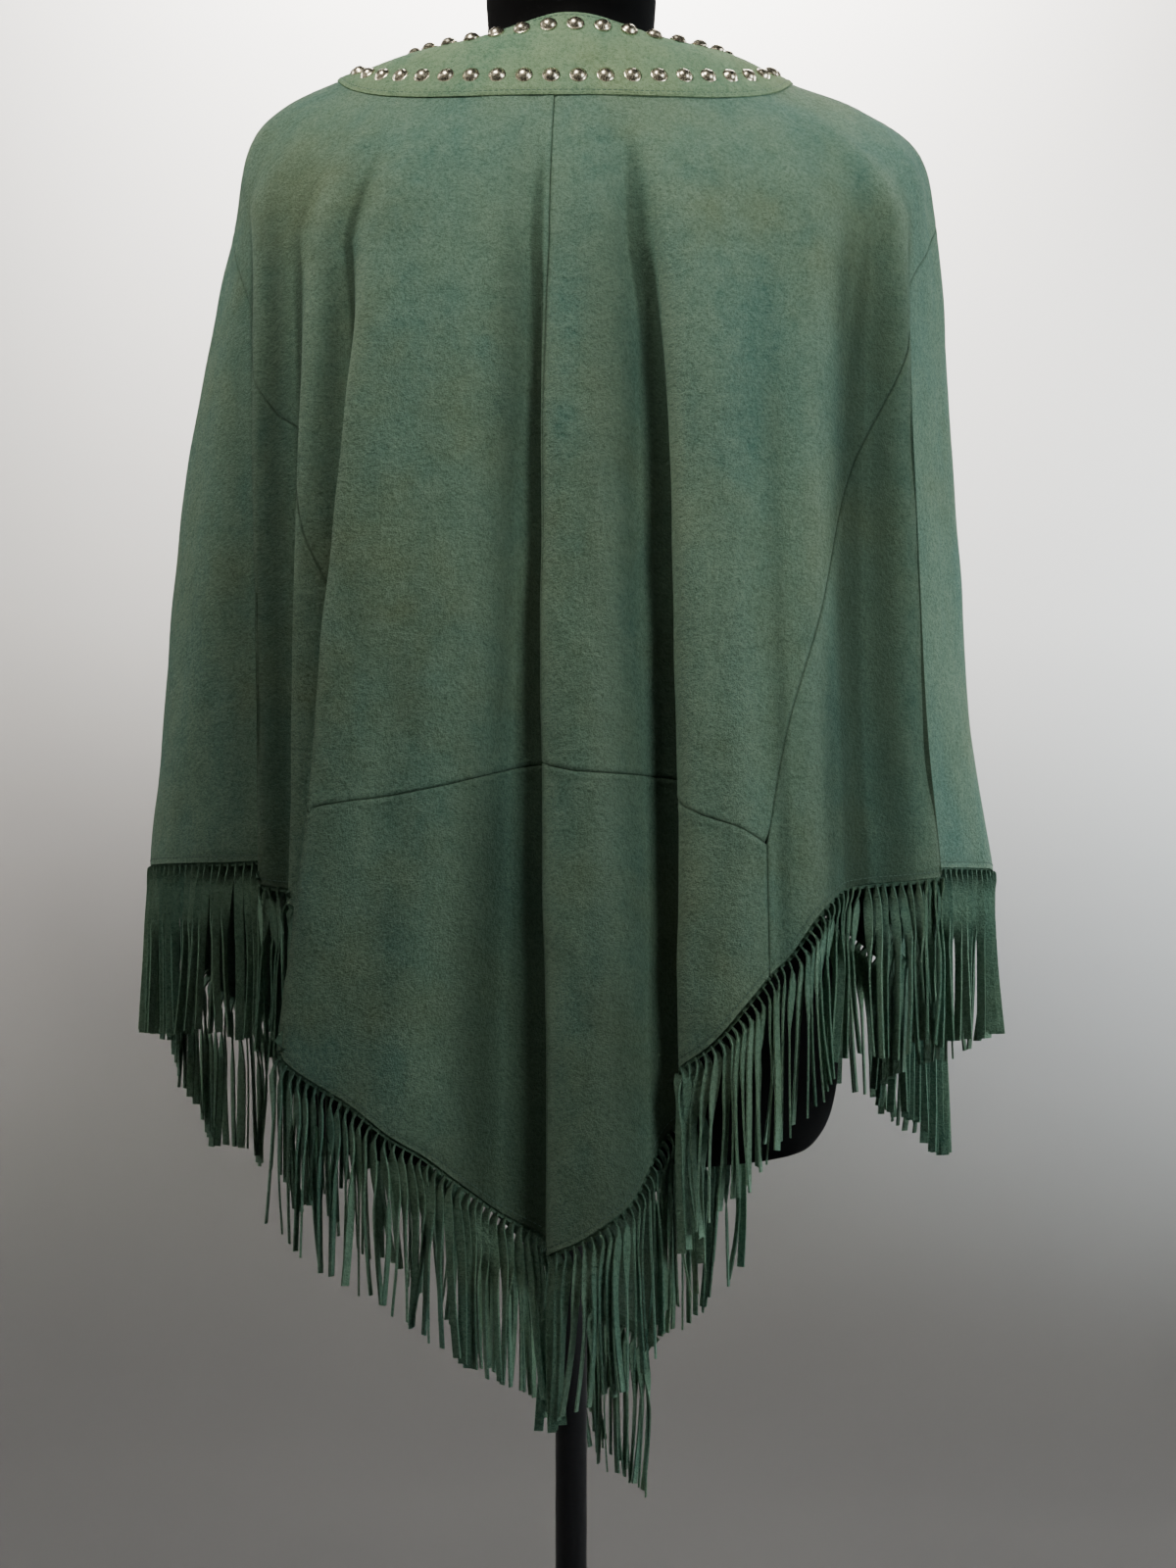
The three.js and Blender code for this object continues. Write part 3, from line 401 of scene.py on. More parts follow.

# %% [markdown]
# ## Walls of suede
# A panel is a grid of points with an outer and an inner face. Near a sewn edge the rows
# crowd together, so that the suede can dip into the seam and swell beside it. Three more
# values go with each point: how far it stands out of its fold, how near a seam is, and
# how much painted shade it gets where the folds round it keep light away.

# %% Build one mesh piece
def make_piece(name, points, faces, values=None, sharp=50):
    mesh = bpy.data.meshes.new(name)
    mesh.from_pydata((np.asarray(points) * MM).tolist(), [], [list(map(int, f)) for f in faces])
    for key, numbers in (values or {}).items():
        mesh.attributes.new(key, "FLOAT", "POINT").data.foreach_set("value", np.asarray(numbers, np.float32))
    mesh.polygons.foreach_set("use_smooth", np.ones(len(mesh.polygons), bool))
    mesh.set_sharp_from_angle(angle=math.radians(sharp))
    mesh.validate()
    piece = bpy.data.objects.new(name, mesh)
    bpy.context.scene.collection.objects.link(piece)
    return piece


# %% Spread columns and rows over a panel
SEWN_STEPS = np.array([0.0, 0.5, 1.0, 1.6, 2.3, 3.1, 4.1, 5.4, 7.0])


def spread_places(start, end, sewn, spacing=3.6):
    """Places from start to end, a few millimetres apart and close at the sewn ones."""
    marks = sorted({start, end, *[m for m in sewn if start <= m <= end]})
    fine = np.linspace(start, end, int((end - start) * 60) + 1)
    along = np.mean([directions(fine, np.full_like(fine, row))[3] for row in (3.5, 6.0, 8.5)], 0)
    length = np.concatenate([[0], np.cumsum((along[1:] + along[:-1]) / 2 * np.diff(fine))])
    chosen = []
    for a, b in zip(marks[:-1], marks[1:]):
        low, high = np.interp([a, b], fine, length)
        near_a = SEWN_STEPS if a in sewn else SEWN_STEPS[:1]
        near_b = SEWN_STEPS if b in sewn else SEWN_STEPS[:1]
        start_at, end_at = low + near_a[-1], high - near_b[-1]
        count = max(2, int((end_at - start_at) / spacing))
        middle = np.linspace(start_at, end_at, count + 1)[1:-1]
        lengths = np.concatenate([low + near_a, middle, high - near_b[::-1]])
        chosen.append(np.interp(lengths, length, fine))
    return np.unique(np.concatenate(chosen))


def spread_rows(length, count, sewn_top, sewn_bottom):
    """Shares down columns of the given lengths, close together at sewn ends."""
    top = SEWN_STEPS if sewn_top else SEWN_STEPS[:1]
    bottom = SEWN_STEPS if sewn_bottom else SEWN_STEPS[:1]
    squeeze = np.minimum(1, 0.3 * length / 7)[:, None]
    head = top[None] * squeeze
    tail = length[:, None] - bottom[None, ::-1] * squeeze
    f = np.linspace(0, 1, count + 1)[1:-1][None]
    body = head[:, -1:] * (1 - f) + tail[:, :1] * f
    return np.concatenate([head, body, tail], 1) / length[:, None]


# %% Measure how near a sewn edge is
def nearness(spots, edge):
    flat = spots.reshape(-1, 3)
    found = np.empty(len(flat))
    for k in range(0, len(flat), 4000):
        part = flat[k : k + 4000]
        squares = (part**2).sum(1)[:, None] - 2 * part @ edge.T + (edge**2).sum(1)[None]
        found[k : k + 4000] = np.sqrt(np.maximum(squares.min(1), 0))
    return found.reshape(spots.shape[:-1])


def lengths_along(spots):
    return np.concatenate([[0], np.cumsum(np.linalg.norm(np.diff(spots, axis=0), axis=1))])


def edge_line(places, rows):
    spots = cloth(places, rows)
    length = lengths_along(spots)
    at_lengths = np.linspace(0, length[-1], max(8, int(length[-1] / 0.8)))
    return np.stack([np.interp(at_lengths, length, spots[:, k]) for k in range(3)], -1)


# %% Cut one panel out of the surface
SEAM_HALF = 0.15
HEM_STITCH = 3.6  # from the hem up to its topstitch
NEAR_CREST, FAR_CREST = (13, 4), (30, 7)  # how far to each side, and a full crest


def inside_of(places, block):
    return (places >= block[3]) & (places <= block[4])


def crest_at(place, row, spot, out, per_place, reach, full):
    """How far the cloth stands above its surroundings, from -1 in a fold to 1 on a ridge."""
    side = reach / np.maximum(per_place, 1)
    middle = (cloth(place - side, row) + cloth(place + side, row)) / 2
    return np.clip(((spot - middle) * out).sum(-1) / full, -1, 1)


def cut_panel(name, start, end, blocks, sewn):
    """blocks: (top row, bottom row, count, first place, last place), from the top down."""
    places = spread_places(start, end, sewn)
    rows, edges = [], []
    for k, (top, bottom, count, first, last) in enumerate(blocks):
        a, b = top(places), bottom(places)
        run = np.linalg.norm(cloth(places, b) - cloth(places, a), axis=-1)
        shares = spread_rows(np.maximum(run, 1), count, k > 0 or top is seam_row, bottom is seam_row)
        rows.append((a[:, None] + (b - a)[:, None] * shares)[:, (1 if k else 0) :])
        if bottom is seam_row:
            sides = places if len(blocks) == 1 else places[~inside_of(places, blocks[1])]
            for group in np.split(sides, np.where(np.diff(sides) > 1)[0] + 1):
                edges.append(edge_line(group, seam_row(group)))
        elif top is seam_row and len(blocks) == 1:
            edges.append(edge_line(places, a))
        for side in (first, last):
            if side in sewn:
                ends = np.array([float(side)])
                column = np.linspace(top(ends)[0], bottom(ends)[0], 300)
                edges.append(edge_line(np.full(300, float(side)), column))
    row = np.concatenate(rows, 1)
    place = np.repeat(places[:, None], row.shape[1], 1)
    starts = np.cumsum([0] + [r.shape[1] for r in rows])
    filled = np.ones((len(places) - 1, row.shape[1] - 1), bool)
    for k, (_, _, _, first, last) in enumerate(blocks):
        inside = (places[:-1] >= first) & (places[1:] <= last)
        filled[:, max(starts[k] - 1, 0) : starts[k + 1] - 1] &= inside[:, None]
    _, _, _, per_place, per_row = directions(place, row)
    for k, (_, _, _, first, last) in enumerate(blocks):
        columns = slice(starts[k], starts[k + 1])
        for side, way in ((first, 1), (last, -1)):
            if side in sewn:
                hit = np.isclose(places, side)
                place[hit, columns] += way * SEAM_HALF / per_place[hit, columns]
    if blocks[0][0] is seam_row:
        row[:, 0] += SEAM_HALF / per_row[:, 0]
    if blocks[0][1] is seam_row:
        free = np.ones(len(places), bool) if len(blocks) == 1 else ~inside_of(places, blocks[1])
        row[free, starts[1] - 1] -= (SEAM_HALF / per_row[:, starts[1] - 1])[free]
    _, _, out, per_place, _ = directions(place, row)
    spot = cloth(place, row)
    lift = lift_at(place, spot, per_place)
    crest = crest_at(place, row, spot, out, per_place, *NEAR_CREST)
    # Painted shade: the suede's colour darkens where the cloth sinks below its surroundings, and in the
    # strips of the painted shade table, as if the folds kept light away.
    hollow = np.maximum(-crest, -crest_at(place, row, spot, out, per_place, *FAR_CREST))
    hollow = smoothstep(hollow * 1.35)
    height = spot[..., 2]
    for fold, width, most, top in PAINTED_SHADE_BESIDE_FOLDS:
        soft = most * hump(apart(place, fold) * per_place, 0, width)
        hollow = np.maximum(hollow, soft * smoothstep((top - height) / 220))
    hollow = hollow * smoothstep((1400 - height) / 160)
    near = nearness(spot, np.concatenate(edges)) if edges else np.full(lift.shape, 99.0)
    hem_places = places[inside_of(places, blocks[-1])]
    hem = np.full(lift.shape, 99.0)
    if blocks[-1][1] is hem_row:
        hem = nearness(spot, edge_line(hem_places, hem_row(hem_places)))
    lift += 0.30 * hump(near, 3.0, 1.8) - 0.45 * hump(near, 0, 0.7)
    lift += -0.16 * hump(hem, HEM_STITCH, 0.8) - 0.25 * hump(hem, 0, 0.9)
    # A paler line along the hem's edge: wear, and a painted highlight on the rolled edge.
    crest = crest + 0.7 * hump(hem, 0, 1.1)
    outer = spot + out * (lift + WALL / 2)[..., None]
    inner = spot + out * (lift - WALL / 2)[..., None]
    groove = 0.25 * np.exp(-((hem - HEM_STITCH) ** 2) / 0.8)
    seam = np.maximum(0.8 * hump(near, 0, 0.65), groove)
    return wall_of(name, outer, inner, filled, {"crest": crest, "seam": seam, "hollow": hollow})


# %% Close a grid of outer and inner points into a wall
def wall_of(name, outer, inner, filled, values):
    across, rows = filled.shape
    used = np.zeros((across + 1, rows + 1), bool)
    for di in (0, 1):
        for dj in (0, 1):
            used[di : di + across, dj : dj + rows] |= filled
    count = int(used.sum())
    ids = np.full(used.shape, -1)
    ids[used] = np.arange(count)
    padded = np.zeros((across + 2, rows + 2), bool)
    padded[1:-1, 1:-1] = filled
    faces = []
    for i, j in np.argwhere(filled):
        a, b, c, d = ids[i, j], ids[i, j + 1], ids[i + 1, j + 1], ids[i + 1, j]
        faces.append((a, b, c, d))
        faces.append((a + count, d + count, c + count, b + count))
        if not padded[i, j + 1]:
            faces.append((b, a, a + count, b + count))
        if not padded[i + 2, j + 1]:
            faces.append((d, c, c + count, d + count))
        if not padded[i + 1, j]:
            faces.append((a, d, d + count, a + count))
        if not padded[i + 1, j + 2]:
            faces.append((c, b, b + count, c + count))
    points = np.concatenate([outer[used], inner[used]])
    both = {key: np.tile(numbers[used], 2) for key, numbers in values.items()}
    return make_piece(name, points, faces, both)


# %% [markdown]
# ## The seven panels
# A maker cuts a kite for each side of the upper back, a panel under each, one panel
# round each arm and one for the front. All of them come from the same surface, so their
# edges meet along the seams without any fitting.

# %% Cut the panels
PANELS = [
    # name, node, start, end, top, bottom, rows
    ("suede_upper_back_left", "back_upper_left", LEFT, POINT, yoke_row, seam_row, 84),
    ("suede_upper_back_right", "back_upper_right", POINT, RIGHT, yoke_row, seam_row, 84),
    ("suede_lower_back_left", "back_lower_left", LEFT_CORNER, POINT, seam_row, hem_row, 58),
    ("suede_lower_back_right", "back_lower_right", POINT, RIGHT_CORNER, seam_row, hem_row, 58),
    ("suede_side_right", "side_right", RIGHT_CORNER, RIGHT_FRONT, seam_row, hem_row, 84),
    ("suede_side_left", "side_left", LEFT_FRONT, AROUND + LEFT_CORNER, seam_row, hem_row, 84),
]
panels = {}
for name, node, start, end, top, bottom, count in PANELS:
    panels[node] = cut_panel(name, start, end, [(top, bottom, count, start, end)], [start, end])
panels["front_panel"] = cut_panel(
    "suede_front",
    RIGHT,
    AROUND + LEFT,
    [
        (yoke_row, seam_row, 84, RIGHT, AROUND + LEFT),
        (seam_row, hem_row, 66, RIGHT_FRONT, LEFT_FRONT),
    ],
    [RIGHT, RIGHT_FRONT, LEFT_FRONT, AROUND + LEFT],
)
for node, panel in panels.items():
    print(node, len(panel.data.polygons) * 2, "triangles")

# %% [markdown]
# ## The yoke
# The yoke is one ring of suede over the shoulders. On the real garment its lower edge
# lies on top of the panels and is stitched down, so the wall rises off the surface near
# that edge and ends a little past the seam, which leaves the fine shadow line under it.

# %% The yoke band
YOKE_COLUMNS, YOKE_ROWS = 400, 34
OVERLAP = 2.2
RISE = 1.9
RISE_FROM, RISE_OVER = 22, 20
YOKE_STITCH = 3.0  # from the yoke's edges in to its topstitches


def yoke_offset(to_edge, from_neck):
    """How far the yoke's middle stands off the surface, by the distance to its edges."""
    rise = RISE * smoothstep((RISE_FROM - to_edge) / RISE_OVER)
    roll = 0.9 * hump(to_edge, 0, 0.9) + 0.8 * hump(from_neck, 0, 1.1)
    dip = 0.3 * hump(to_edge, YOKE_STITCH, 0.7) + 0.3 * hump(from_neck, YOKE_STITCH, 0.7)
    return rise - roll - dip


def yoke_grid():
    place = np.linspace(0, AROUND, YOKE_COLUMNS, endpoint=False)[:, None]
    edge = YOKE_ROW + OVERLAP / directions(place, yoke_row(place))[4]
    fine = np.array([0, 0.5, 1.1, 1.8, 2.6, 3.4, 4.4, 5.6])
    neck_to_edge = np.linalg.norm(cloth(place, edge) - cloth(place, 0 * edge), axis=-1) * 1.02
    f = np.linspace(0, 1, YOKE_ROWS)[None, 1:-1]
    body = fine[-1] * (1 - f) + (neck_to_edge - fine[-1]) * f
    head = np.broadcast_to(fine, (YOKE_COLUMNS, len(fine)))
    length = np.concatenate([head, body, neck_to_edge - fine[::-1][None]], 1)
    row = edge * length / neck_to_edge
    return place + 0 * row, row, neck_to_edge - length, length


def ring_wall(name, outer, inner, values):
    """A wall whose columns go all the way round."""
    columns, rows = outer.shape[:2]
    i, j = np.meshgrid(np.arange(columns), np.arange(rows - 1), indexing="ij")
    k = (i + 1) % columns
    a, b, c, d = (x.ravel() for x in (i * rows + j, i * rows + j + 1, k * rows + j + 1, k * rows + j))
    count = columns * rows
    faces = np.concatenate([np.stack([a, b, c, d], 1), np.stack([a, d, c, b], 1) + count])
    ring, after = np.arange(columns) * rows, (np.arange(columns) + 1) % columns * rows
    low, low_after = ring + rows - 1, after + rows - 1
    faces = np.concatenate(
        [
            faces,
            np.stack([ring, after, after + count, ring + count], 1),
            np.stack([low_after, low, low + count, low_after + count], 1),
        ]
    )
    points = np.concatenate([outer.reshape(-1, 3), inner.reshape(-1, 3)])
    return make_piece(name, points, faces, {k: np.tile(v.ravel(), 2) for k, v in values.items()})


place, row, to_edge, from_neck = yoke_grid()
_, _, out, per_place, _ = directions(place, row)
spot = cloth(place, row)
stand_off = yoke_offset(to_edge, from_neck) + 0.25 * lift_at(place, spot, per_place)
yoke_line = hump(to_edge, YOKE_STITCH, 1) + hump(from_neck, YOKE_STITCH, 1)
yoke = ring_wall(
    "suede_yoke",
    spot + out * (stand_off + WALL / 2)[..., None],
    spot + out * (stand_off - WALL / 2)[..., None],
    {"crest": 0.25 + 0.6 * np.exp(-to_edge), "seam": 0.18 * yoke_line},
)
print("yoke:", len(yoke.data.polygons) * 2, "triangles")

# %% [markdown]
# ## Geometry Nodes for what repeats
# Studs, stitches and strands repeat hundreds of times. A node tree places one shape on
# many points, and a named input holds each of its sizes. The tree realises its instances
# and sets the material, and the result is then turned into a plain mesh.

# %% A helper that fills any node tree, and a wire that does maths
class Wire:
    """A node's output. Python's own operators add Math nodes behind it."""

    def __init__(self, tree, socket):
        self.tree, self.socket = tree, socket

    def maths(self, operation, first, second):
        return add(self.tree, "ShaderNodeMath", {"operation": operation}, {0: first, 1: second})

    def __add__(self, other):
        return self.maths("ADD", self, other)

    def __radd__(self, other):
        return self.maths("ADD", other, self)

    def __sub__(self, other):
        return self.maths("SUBTRACT", self, other)

    def __rsub__(self, other):
        return self.maths("SUBTRACT", other, self)

    def __mul__(self, other):
        return self.maths("MULTIPLY", self, other)

    def __rmul__(self, other):
        return self.maths("MULTIPLY", other, self)


def add(tree, kind, settings=None, sockets=None, out=0):
    """Adds a node: first its settings, then the values or wires of its sockets."""
    node = tree.nodes.new(kind)
    for key, value in (settings or {}).items():
        if key == "stops":
            ramp = node.color_ramp
            while len(ramp.elements) < len(value):
                ramp.elements.new(0.5)
            for element, (position, color) in zip(ramp.elements, value):
                element.position, element.color = position, color
        else:
            setattr(node, key, value)
    for key, value in (sockets or {}).items():
        if isinstance(value, Wire):
            tree.links.new(value.socket, node.inputs[key])
        else:
            node.inputs[key].default_value = value
    return Wire(tree, node.outputs[out]) if len(node.outputs) else node


# %% A Geometry Nodes tree with named inputs
def grow_tree(name, inputs, build):
    tree = bpy.data.node_groups.new(name, "GeometryNodeTree")
    tree.is_modifier = True
    kinds = {"Object": "NodeSocketObject", "Material": "NodeSocketMaterial"}
    tree.interface.new_socket("Geometry", in_out="INPUT", socket_type="NodeSocketGeometry")
    for key in inputs:
        tree.interface.new_socket(key, in_out="INPUT", socket_type=kinds.get(key, "NodeSocketFloat"))
    tree.interface.new_socket("Geometry", in_out="OUTPUT", socket_type="NodeSocketGeometry")
    start = tree.nodes.new("NodeGroupInput")
    wires = {socket.name: Wire(tree, socket) for socket in start.outputs if socket.name}
    shape = build(tree, wires)
    whole = add(tree, "GeometryNodeRealizeInstances", {}, {0: shape})
    painted = add(tree, "GeometryNodeSetMaterial", {}, {0: whole, "Material": wires["Material"]})
    end = tree.nodes.new("NodeGroupOutput")
    tree.links.new(painted.socket, end.inputs[0])
    return tree


def run_tree(tree, source, name, values):
    """Runs a tree on a source mesh and returns the plain mesh that it makes."""
    modifier = source.modifiers.new("shape", "NODES")
    modifier.node_group = tree
    for item in tree.interface.items_tree:
        if item.in_out == "INPUT" and item.name in values:
            modifier[item.identifier] = values[item.name]
    view = bpy.context.evaluated_depsgraph_get()
    mesh = bpy.data.meshes.new_from_object(source.evaluated_get(view))
    source.modifiers.remove(modifier)
    bpy.data.objects.remove(source)
    mesh.name = name
    piece = bpy.data.objects.new(name, mesh)
    bpy.context.scene.collection.objects.link(piece)
    return piece


def line_source(points, lines, vectors=None, values=None):
    """A mesh of loose points and lines that a tree starts from."""
    mesh = bpy.data.meshes.new("source")
    mesh.from_pydata((np.asarray(points) * MM).tolist(), lines, [])
    for key, rows in (vectors or {}).items():
        data = mesh.attributes.new(key, "FLOAT_VECTOR", "POINT").data
        data.foreach_set("vector", np.asarray(rows, np.float32).ravel())
    for key, numbers in (values or {}).items():
        mesh.attributes.new(key, "FLOAT", "POINT").data.foreach_set("value", np.asarray(numbers, np.float32))
    source = bpy.data.objects.new("source", mesh)
    bpy.context.scene.collection.objects.link(source)
    return source


# %% [markdown]
# ## Materials
# Suede is the flesh side of a hide. Its nap is short and uneven, so light catches it in
# fine specks and in broad cloudy patches where the hairs lie another way. Fold crests and
# the hem's edge are paler, partly from wear and partly as a painted highlight. Seams are
# darker, the depths of folds get painted shade, and each strand of the fringe gets a
# painted shadow towards its root. Noise at five sizes and three stored values give all
# of that.

# %% Suede, cut strips and thread
def named(tree, key):
    return add(tree, "ShaderNodeAttribute", {"attribute_name": key}, out="Fac")


def noise(tree, spot, scale, detail=3.0, roughness=0.55):
    sockets = {"Vector": spot, "Scale": scale, "Detail": detail, "Roughness": roughness}
    return add(tree, "ShaderNodeTexNoise", {}, sockets, out="Fac")


def ramp(tree, factor, low, high):
    return add(tree, "ShaderNodeMapRange", {"clamp": True}, {0: factor, 1: low, 2: high})


def blend(tree, factor, first, second, how="MIX"):
    settings = {"data_type": "RGBA", "blend_type": how}
    node = add(tree, "ShaderNodeMix", settings, {0: factor}, out=2).socket.node
    for index, value in ((6, first), (7, second)):
        if isinstance(value, Wire):
            tree.links.new(value.socket, node.inputs[index])
        else:
            node.inputs[index].default_value = (*value, 1)
    return Wire(tree, node.outputs[2])


def new_material(name, fixed):
    material = bpy.data.materials.new(name)
    material.use_nodes = True
    tree = material.node_tree
    shader = tree.nodes["Principled BSDF"]
    for key, value in fixed.items():
        shader.inputs[key].default_value = value
    spot = add(tree, "ShaderNodeTexCoord", {}, {}, out="Object")
    return material, tree, shader, spot


def bump(tree, shader, height, strength, distance, under=None):
    sockets = {"Strength": strength, "Distance": distance, "Height": height}
    if under is not None:
        sockets["Normal"] = under
    normal = add(tree, "ShaderNodeBump", {}, sockets)
    tree.links.new(normal.socket, shader.inputs["Normal"])
    return normal


SAGE = (0.122, 0.205, 0.142)
TEAL = (0.072, 0.166, 0.132)
OLIVE = (0.146, 0.184, 0.098)
# Pale nap and wear; on fold crests and the hem's edge it is also a painted highlight.
PALE_WEAR_AND_HIGHLIGHT = (0.250, 0.345, 0.246)
# Dark flecks and seams; in fold depths it is painted shade, and on the strands a painted shadow near the
# root.
DARK_FLECK_SEAM_AND_SHADE = (0.022, 0.038, 0.021)


def suede(name, key_wear_tone_and_highlight="crest", key_seam_and_shadow="seam", shade=None):
    fixed = {"Sheen Weight": 0.08, "Sheen Roughness": 0.45, "Sheen Tint": (0.62, 0.85, 0.72, 1)}
    fixed["Specular IOR Level"] = 0.1
    material, tree, shader, spot = new_material(name, fixed)
    tall = add(tree, "ShaderNodeMapping", {}, {"Vector": spot, "Scale": (1, 1, 0.28)})
    cloud = noise(tree, spot, 9, 4, 0.6)
    band = noise(tree, tall, 26, 3, 0.5)
    patch = noise(tree, spot, 75, 4, 0.65)
    nap = noise(tree, spot, 420, 4, 0.7)
    grain = noise(tree, spot, 1500, 2, 0.6)
    color = blend(tree, ramp(tree, band, 0.36, 0.66), SAGE, TEAL)
    color = blend(tree, ramp(tree, cloud, 0.5, 0.72) * 0.75, color, OLIVE)
    # Paler where the attribute is high: on the cloth that is fold crests and the hem's edge, partly wear and
    # partly a painted highlight; on the strips it is random tone.
    wear_tone_and_highlight = ramp(tree, named(tree, key_wear_tone_and_highlight) + patch * 0.9, 0.55, 1.5)
    color = blend(tree, wear_tone_and_highlight * 0.5, color, PALE_WEAR_AND_HIGHLIGHT)
    speck = ramp(tree, nap * 0.55 + grain * 0.3 + patch * 0.35, 0.42, 0.78)
    color = blend(tree, speck * 0.5, color, PALE_WEAR_AND_HIGHLIGHT)
    pit = ramp(tree, nap * 0.5 + grain * 0.5, 0.54, 0.36)
    color = blend(tree, pit * 0.42, color, DARK_FLECK_SEAM_AND_SHADE)
    # Painted shade in the depths of folds.
    color = blend(tree, named(tree, "hollow") * 0.72, color, DARK_FLECK_SEAM_AND_SHADE)
    # Darker seams, and on the strips a painted shadow towards the root.
    color = blend(tree, named(tree, key_seam_and_shadow) * 0.62, color, DARK_FLECK_SEAM_AND_SHADE)
    if shade:
        color = blend(tree, 1.0, color, shade, "MULTIPLY")
    tree.links.new(color.socket, shader.inputs["Base Color"])
    rough = 0.86 + nap * 0.14
    tree.links.new(rough.socket, shader.inputs["Roughness"])
    under = bump(tree, shader, patch, 0.6, 0.0028)
    bump(tree, shader, nap * 0.7 + grain * 0.3, 1.0, 0.0020, under)
    return material


suede_cloth = suede("sage suede")
suede_strips = suede("cut suede strips", "tone", "root", (1.02, 1.12, 1.10))
yoke_suede = suede("yoke suede", shade=(1.28, 1.24, 1.02))


def plain(name, color, roughness, metallic, scale, depth, **fixed):
    material, tree, shader, spot = new_material(name, {"Metallic": metallic, **fixed})
    fine = noise(tree, spot, scale, 3)
    broad = noise(tree, spot, 14, 3)
    dark = tuple(0.7 * value for value in color)
    mixed = blend(tree, ramp(tree, fine * 0.6 + broad * 0.4, 0.35, 0.65), dark, color)
    tree.links.new(mixed.socket, shader.inputs["Base Color"])
    rough = (roughness - 0.06) + fine * 0.12
    tree.links.new(rough.socket, shader.inputs["Roughness"])
    bump(tree, shader, fine, 0.25, depth)
    return material


nickel = plain("polished nickel", (0.80, 0.72, 0.54), 0.27, 1.0, 500, 0.00003)
thread = plain("sage thread", (0.085, 0.150, 0.112), 0.8, 0.0, 2500, 0.0001)
matt = {"Specular IOR Level": 0.1}
jersey = plain("black knitted cover", (0.003, 0.003, 0.003), 0.95, 0.0, 1300, 0.0006, **matt)
enamel = plain("black satin enamel", (0.018, 0.018, 0.020), 0.38, 0.0, 300, 0.00003)
print("materials:", [m.name for m in (suede_cloth, suede_strips, yoke_suede, nickel, thread, jersey, enamel)])

# %% [markdown]
# ## Studs
# Each stud is a pressed dome with a small flat rim, 11 mm across, set through the
# yoke. One dome is turned from a profile, and a tree sets a copy on every point, turned
# to the suede's own outward direction.

# %% Turn a profile round an axis
def capped_faces(rings, sides):
    """Faces through a number of equal rings, with a fan to one point at each end."""
    faces = []
    last = 1 + (rings - 1) * sides
    for n in range(sides):
        m = (n + 1) % sides
        faces.append((0, 1 + n, 1 + m))
        for r in range(rings - 1):
            a, b = 1 + r * sides, 1 + (r + 1) * sides
            faces.append((a + n, b + n, b + m, a + m))
        faces.append((last + n, last + sides, last + m))
    return faces


def turned(name, profile, sides, sharp=40):
    profile = np.asarray(profile, float)
    angle = np.linspace(0, 2 * math.pi, sides, endpoint=False)
    rings = profile[1:-1]
    points = [[0, 0, profile[0][1]]]
    for radius, height in rings:
        points += np.stack([radius * np.cos(angle), radius * np.sin(angle), 0 * angle + height], 1).tolist()
    points.append([0, 0, profile[-1][1]])
    return make_piece(name, points, capped_faces(len(rings), sides), sharp=sharp)


# %% Set the studs in two rows
STUD_PROFILE = [(0, 3.3), (1.2, 3.18), (2.3, 2.85), (3.3, 2.2), (4.1, 1.35), (4.65, 0.5)]
STUD_PROFILE += [(5.2, 0.3), (5.2, -0.6), (0, -0.6)]
PROFILE_ACROSS = 10.4
STUD = {"across": 11.0, "pitch": 17, "sides": 20, "seat": 0.55, "rows": (0.31, 1.62)}


def stud_tree(tree, wires):
    dome = add(tree, "GeometryNodeObjectInfo", {}, {0: wires["Object"]}, out="Geometry")
    facing = add(tree, "GeometryNodeInputNamedAttribute", {"data_type": "FLOAT_VECTOR"}, {0: "facing"})
    turn = add(tree, "FunctionNodeAlignRotationToVector", {"axis": "Z"}, {"Vector": facing})
    points = add(tree, "GeometryNodeMeshToPoints", {}, {0: wires["Geometry"]})
    size = wires["Across"] * (1 / PROFILE_ACROSS)
    sockets = {"Points": points, "Instance": dome, "Rotation": turn, "Scale": size}
    return add(tree, "GeometryNodeInstanceOnPoints", {}, sockets)


def places_by_pitch(row, pitch):
    steps = np.linspace(0, AROUND, 2881)
    length = lengths_along(cloth(steps, np.full_like(steps, row)))
    count = round(length[-1] / pitch)
    wanted = (np.arange(count) + 0.5) * length[-1] / count
    return np.interp(wanted % length[-1], length, steps)


stud_points, stud_facing = [], []
for row_of_studs in STUD["rows"]:
    around = places_by_pitch(row_of_studs, STUD["pitch"])
    rows = np.full_like(around, row_of_studs)
    outward = directions(around, rows)[2]
    seat = cloth(around, rows)
    below = np.linalg.norm(cloth(around, yoke_row(around)) - seat, axis=-1)
    rise = RISE * smoothstep((RISE_FROM - OVERLAP - below) / RISE_OVER) + WALL / 2 + STUD["seat"]
    stud_points.append(seat + outward * rise[:, None])
    stud_facing.append(outward)
dome = turned("dome", STUD_PROFILE, STUD["sides"], sharp=60)
source = line_source(np.concatenate(stud_points), [], {"facing": np.concatenate(stud_facing)})
tree = grow_tree("Studs on points", ["Across", "Object", "Material"], stud_tree)
sizes = {"Across": STUD["across"], "Object": dome, "Material": nickel}
studs = run_tree(tree, source, "nickel_studs", sizes)
bpy.data.objects.remove(dome)
print("studs:", sum(map(len, stud_points)), "triangles:", len(studs.data.polygons) * 2)

# %% [markdown]
# ## Stitches
# A topstitch holds the yoke's two edges and runs just above the hem. Each stitch is a
# short capsule that dives into the suede at both ends. The tree lays them along a line
# at the real stitch's pitch, so their number follows from the length.

